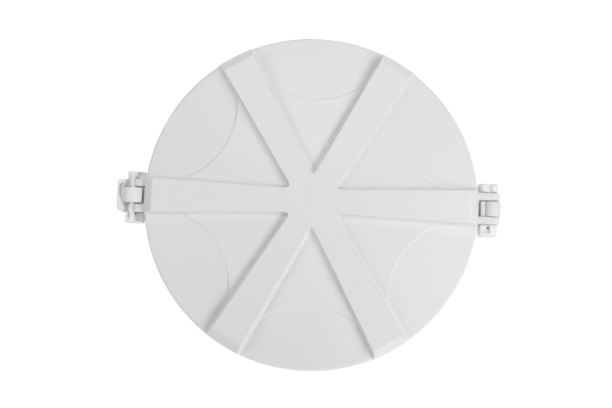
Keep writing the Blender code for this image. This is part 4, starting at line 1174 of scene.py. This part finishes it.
CLIP_TRIM = 0.0010
CLIP_UPPER_WALL = 0.0035
CLIP_LOWER_WALL = 0.0045
CLIP_STEP_DEPTH = 0.0052
CLIP_STEP_LEFT = 0.0040
CLIP_STEP_WALL = 0.0012
CLIP_STEP_END_WALL = 0.0030
CLIP_SHOULDER_SLOPE = 0.8
CLIP_SHOULDER_TOP = -0.0005
CLIP_SHOULDER_END = 0.0040
CLIP_GROOVE_LEFT = -0.0053
CLIP_GROOVE_RIGHT = -0.0041
CLIP_GROOVE_END = -0.0312
CLIP_GROOVE_DEPTH = 0.0026
CLIP_HOLE_OFFSET = 0.0010
PAST_END = 0.001
for node, corners, hole_y in (
    ("latch_pin_clip_upper", (0.0012, 0.0012, 0.0034, 0.0034), 0.0238),
    ("latch_pin_clip_lower", (0.0034, 0.0034, 0.0012, 0.0012), -0.0244),
):
    clip_low, clip_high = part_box(node)
    over_clip = clip_high.z + PAST_FACE
    if node == "latch_pin_clip_upper":
        back, front = clip_low.y - PAST_END, clip_high.y - CLIP_SHOULDER_END
        seat_low, seat_high = back, clip_high.y - CLIP_UPPER_WALL
        step_low = back
        shoulder = [(-0.008, back), (-0.0004, back), (-0.0004, front), (-0.008, front)]
        middle = (latch_axis.x - PIN_BORE, 0.0, clip_high.z + CLIP_SHOULDER_TOP + CUTTER_HEIGHT / 2)
        shoulder_place = Matrix.Translation(middle) @ leaning(CLIP_SHOULDER_SLOPE)
        relief = plate(shoulder, CUTTER_HEIGHT, shoulder_place, 0.0006, 2)
    else:
        clip_low.y += CLIP_TRIM
        seat_low, seat_high = clip_low.y + CLIP_LOWER_WALL, clip_high.y + PAST_FACE
        step_low = clip_low.y + CLIP_STEP_END_WALL
        relief = box_cutter(
            (latch_axis.x + CLIP_GROOVE_LEFT, CLIP_GROOVE_END, clip_high.z - CLIP_GROOVE_DEPTH),
            (latch_axis.x + CLIP_GROOVE_RIGHT, clip_high.y + PAST_END, over_clip),
        )
    step = box_cutter(
        (latch_axis.x + CLIP_STEP_LEFT, step_low, clip_high.z - CLIP_STEP_DEPTH),
        (clip_high.x - CLIP_STEP_WALL, clip_high.y + PAST_END, over_clip),
    )
    hole_x = latch_axis.x + PIN_BORE + CLIP_HOLE_OFFSET
    outline = rounded_box_outline(clip_low, clip_high, corners)
    clip_place = Matrix.Translation((0, 0, (clip_low.z + clip_high.z) / 2))
    clip_mesh = plate(outline, clip_high.z - clip_low.z, clip_place, BLOCK_EDGE_ROUND, 4)
    clip_mesh = cut_from(clip_mesh, turned_rod(PIN_BORE, seat_low, seat_high, latch_axis))
    for cutter in (relief, step, wire_drill(hole_x, hole_y, clip_low.z, over_clip)):
        clip_mesh = cut_from(clip_mesh, cutter)
    clip = piece_from(clip_mesh, node + "_block", pin_white, 30)
    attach(clip, "lid")
    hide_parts(node)

# Floor: a plain pale studio table that glows a little, so that it shows as white paper does. It
# lies just under the collar's foot.
TABLE_HALF_WIDTH = 4.0
TABLE_GAP = 0.0002
PAPER_GREY = 0.2
PAPER_GLOW = 0.88
floor_mesh = bmesh.new()
bmesh.ops.create_grid(floor_mesh, x_segments=1, y_segments=1, size=TABLE_HALF_WIDTH)
paper = bpy.data.materials.new("pale_table")
paper.use_nodes = True
paper_shader = paper.node_tree.nodes["Principled BSDF"]
paper_shader.inputs["Base Color"].default_value = (PAPER_GREY, PAPER_GREY, PAPER_GREY, 1.0)
paper_shader.inputs["Roughness"].default_value = 0.9
paper_shader.inputs["Emission Color"].default_value = (1.0, 1.0, 1.0, 1.0)
paper_shader.inputs["Emission Strength"].default_value = PAPER_GLOW
floor = piece_from(floor_mesh, "table_top", paper)
for vert in floor.data.vertices:
    vert.co.z = cad_low.z - TABLE_GAP

# Camera: nearly straight above the lid, a little towards its lower edge, and turned a touch, so
# that the round outline falls where it should in the picture.
PHOTO_WIDTH = 612
SENSOR = 36.0
LENS = 48.1
CAMERA_DISTANCE = 1.10
CAMERA_ELEVATION = math.radians(84.2)
CAMERA_LEAN = math.radians(-6.8)
CAMERA_TURN = math.radians(2.25)
LID_RIGHT_OF_CENTRE = 5.90
LID_ABOVE_CENTRE = 2.40
RIM_HEIGHT = 0.060
metres_per_pixel = SENSOR * CAMERA_DISTANCE / (LENS * PHOTO_WIDTH)
level = Vector((math.sin(CAMERA_LEAN), -math.cos(CAMERA_LEAN), 0.0))
back = level * math.cos(CAMERA_ELEVATION) + Vector((0, 0, 1)) * math.sin(CAMERA_ELEVATION)
across = Vector((math.cos(CAMERA_TURN), math.sin(CAMERA_TURN), 0.0))
right = (across - back * across.dot(back)).normalized()
up = back.cross(right)
target = Vector((0.0, 0.0, RIM_HEIGHT))
target -= right * LID_RIGHT_OF_CENTRE * metres_per_pixel
target -= up * LID_ABOVE_CENTRE * metres_per_pixel
camera_data = bpy.data.cameras.new("camera")
camera_data.sensor_width = SENSOR
camera_data.lens = LENS
camera = bpy.data.objects.new("camera", camera_data)
bpy.context.scene.collection.objects.link(camera)
camera.matrix_world = Matrix.Translation(target + back * CAMERA_DISTANCE) @ Matrix(
    (right, up, back)
).transposed().to_4x4()
bpy.context.scene.camera = camera

# Light: two large soft boxes from the right and the lower right, with weak ones all round. Each is
# given as name, azimuth and elevation in degrees, distance, size and power.
WORLD_LIGHT = 0.02
LIGHTS = (
    ("key_light", -45, 40, 1.6, 0.7, 7.5),
    ("right_light", 0, 40, 1.6, 0.7, 7.3),
    ("high_right_fill", 0, 60, 0.9, 0.4, 1.1),
    ("low_back_fill", 90, 15, 1.6, 0.7, 5.0),
    ("back_fill", 90, 60, 0.9, 0.4, 1.6),
    ("left_fill", 180, 35, 0.9, 0.4, 2.4),
    ("low_front_fill", -90, 15, 1.6, 0.7, 5.6),
)
world = bpy.data.worlds.new("studio")
bpy.context.scene.world = world
world.use_nodes = True
sky = world.node_tree.nodes["Background"]
sky.inputs["Color"].default_value = (1.0, 1.0, 1.0, 1.0)
sky.inputs["Strength"].default_value = WORLD_LIGHT


def soft_box(name, azimuth, elevation, distance, size, power):
    """A square area light that faces the lid."""
    light = bpy.data.lights.new(name, "AREA")
    light.size = size
    light.energy = power
    lamp = bpy.data.objects.new(name, light)
    bpy.context.scene.collection.objects.link(lamp)
    towards = Vector(
        (
            math.cos(azimuth) * math.cos(elevation),
            math.sin(azimuth) * math.cos(elevation),
            math.sin(elevation),
        )
    )
    lamp.location = Vector((0.0, 0.0, RIM_HEIGHT)) + towards * distance
    lamp.rotation_euler = towards.to_track_quat("Z", "Y").to_euler()


for name, azimuth, elevation, distance, size, power in LIGHTS:
    soft_box(name, math.radians(azimuth), math.radians(elevation), distance, size, power)
bpy.context.scene.view_settings.view_transform = "Standard"
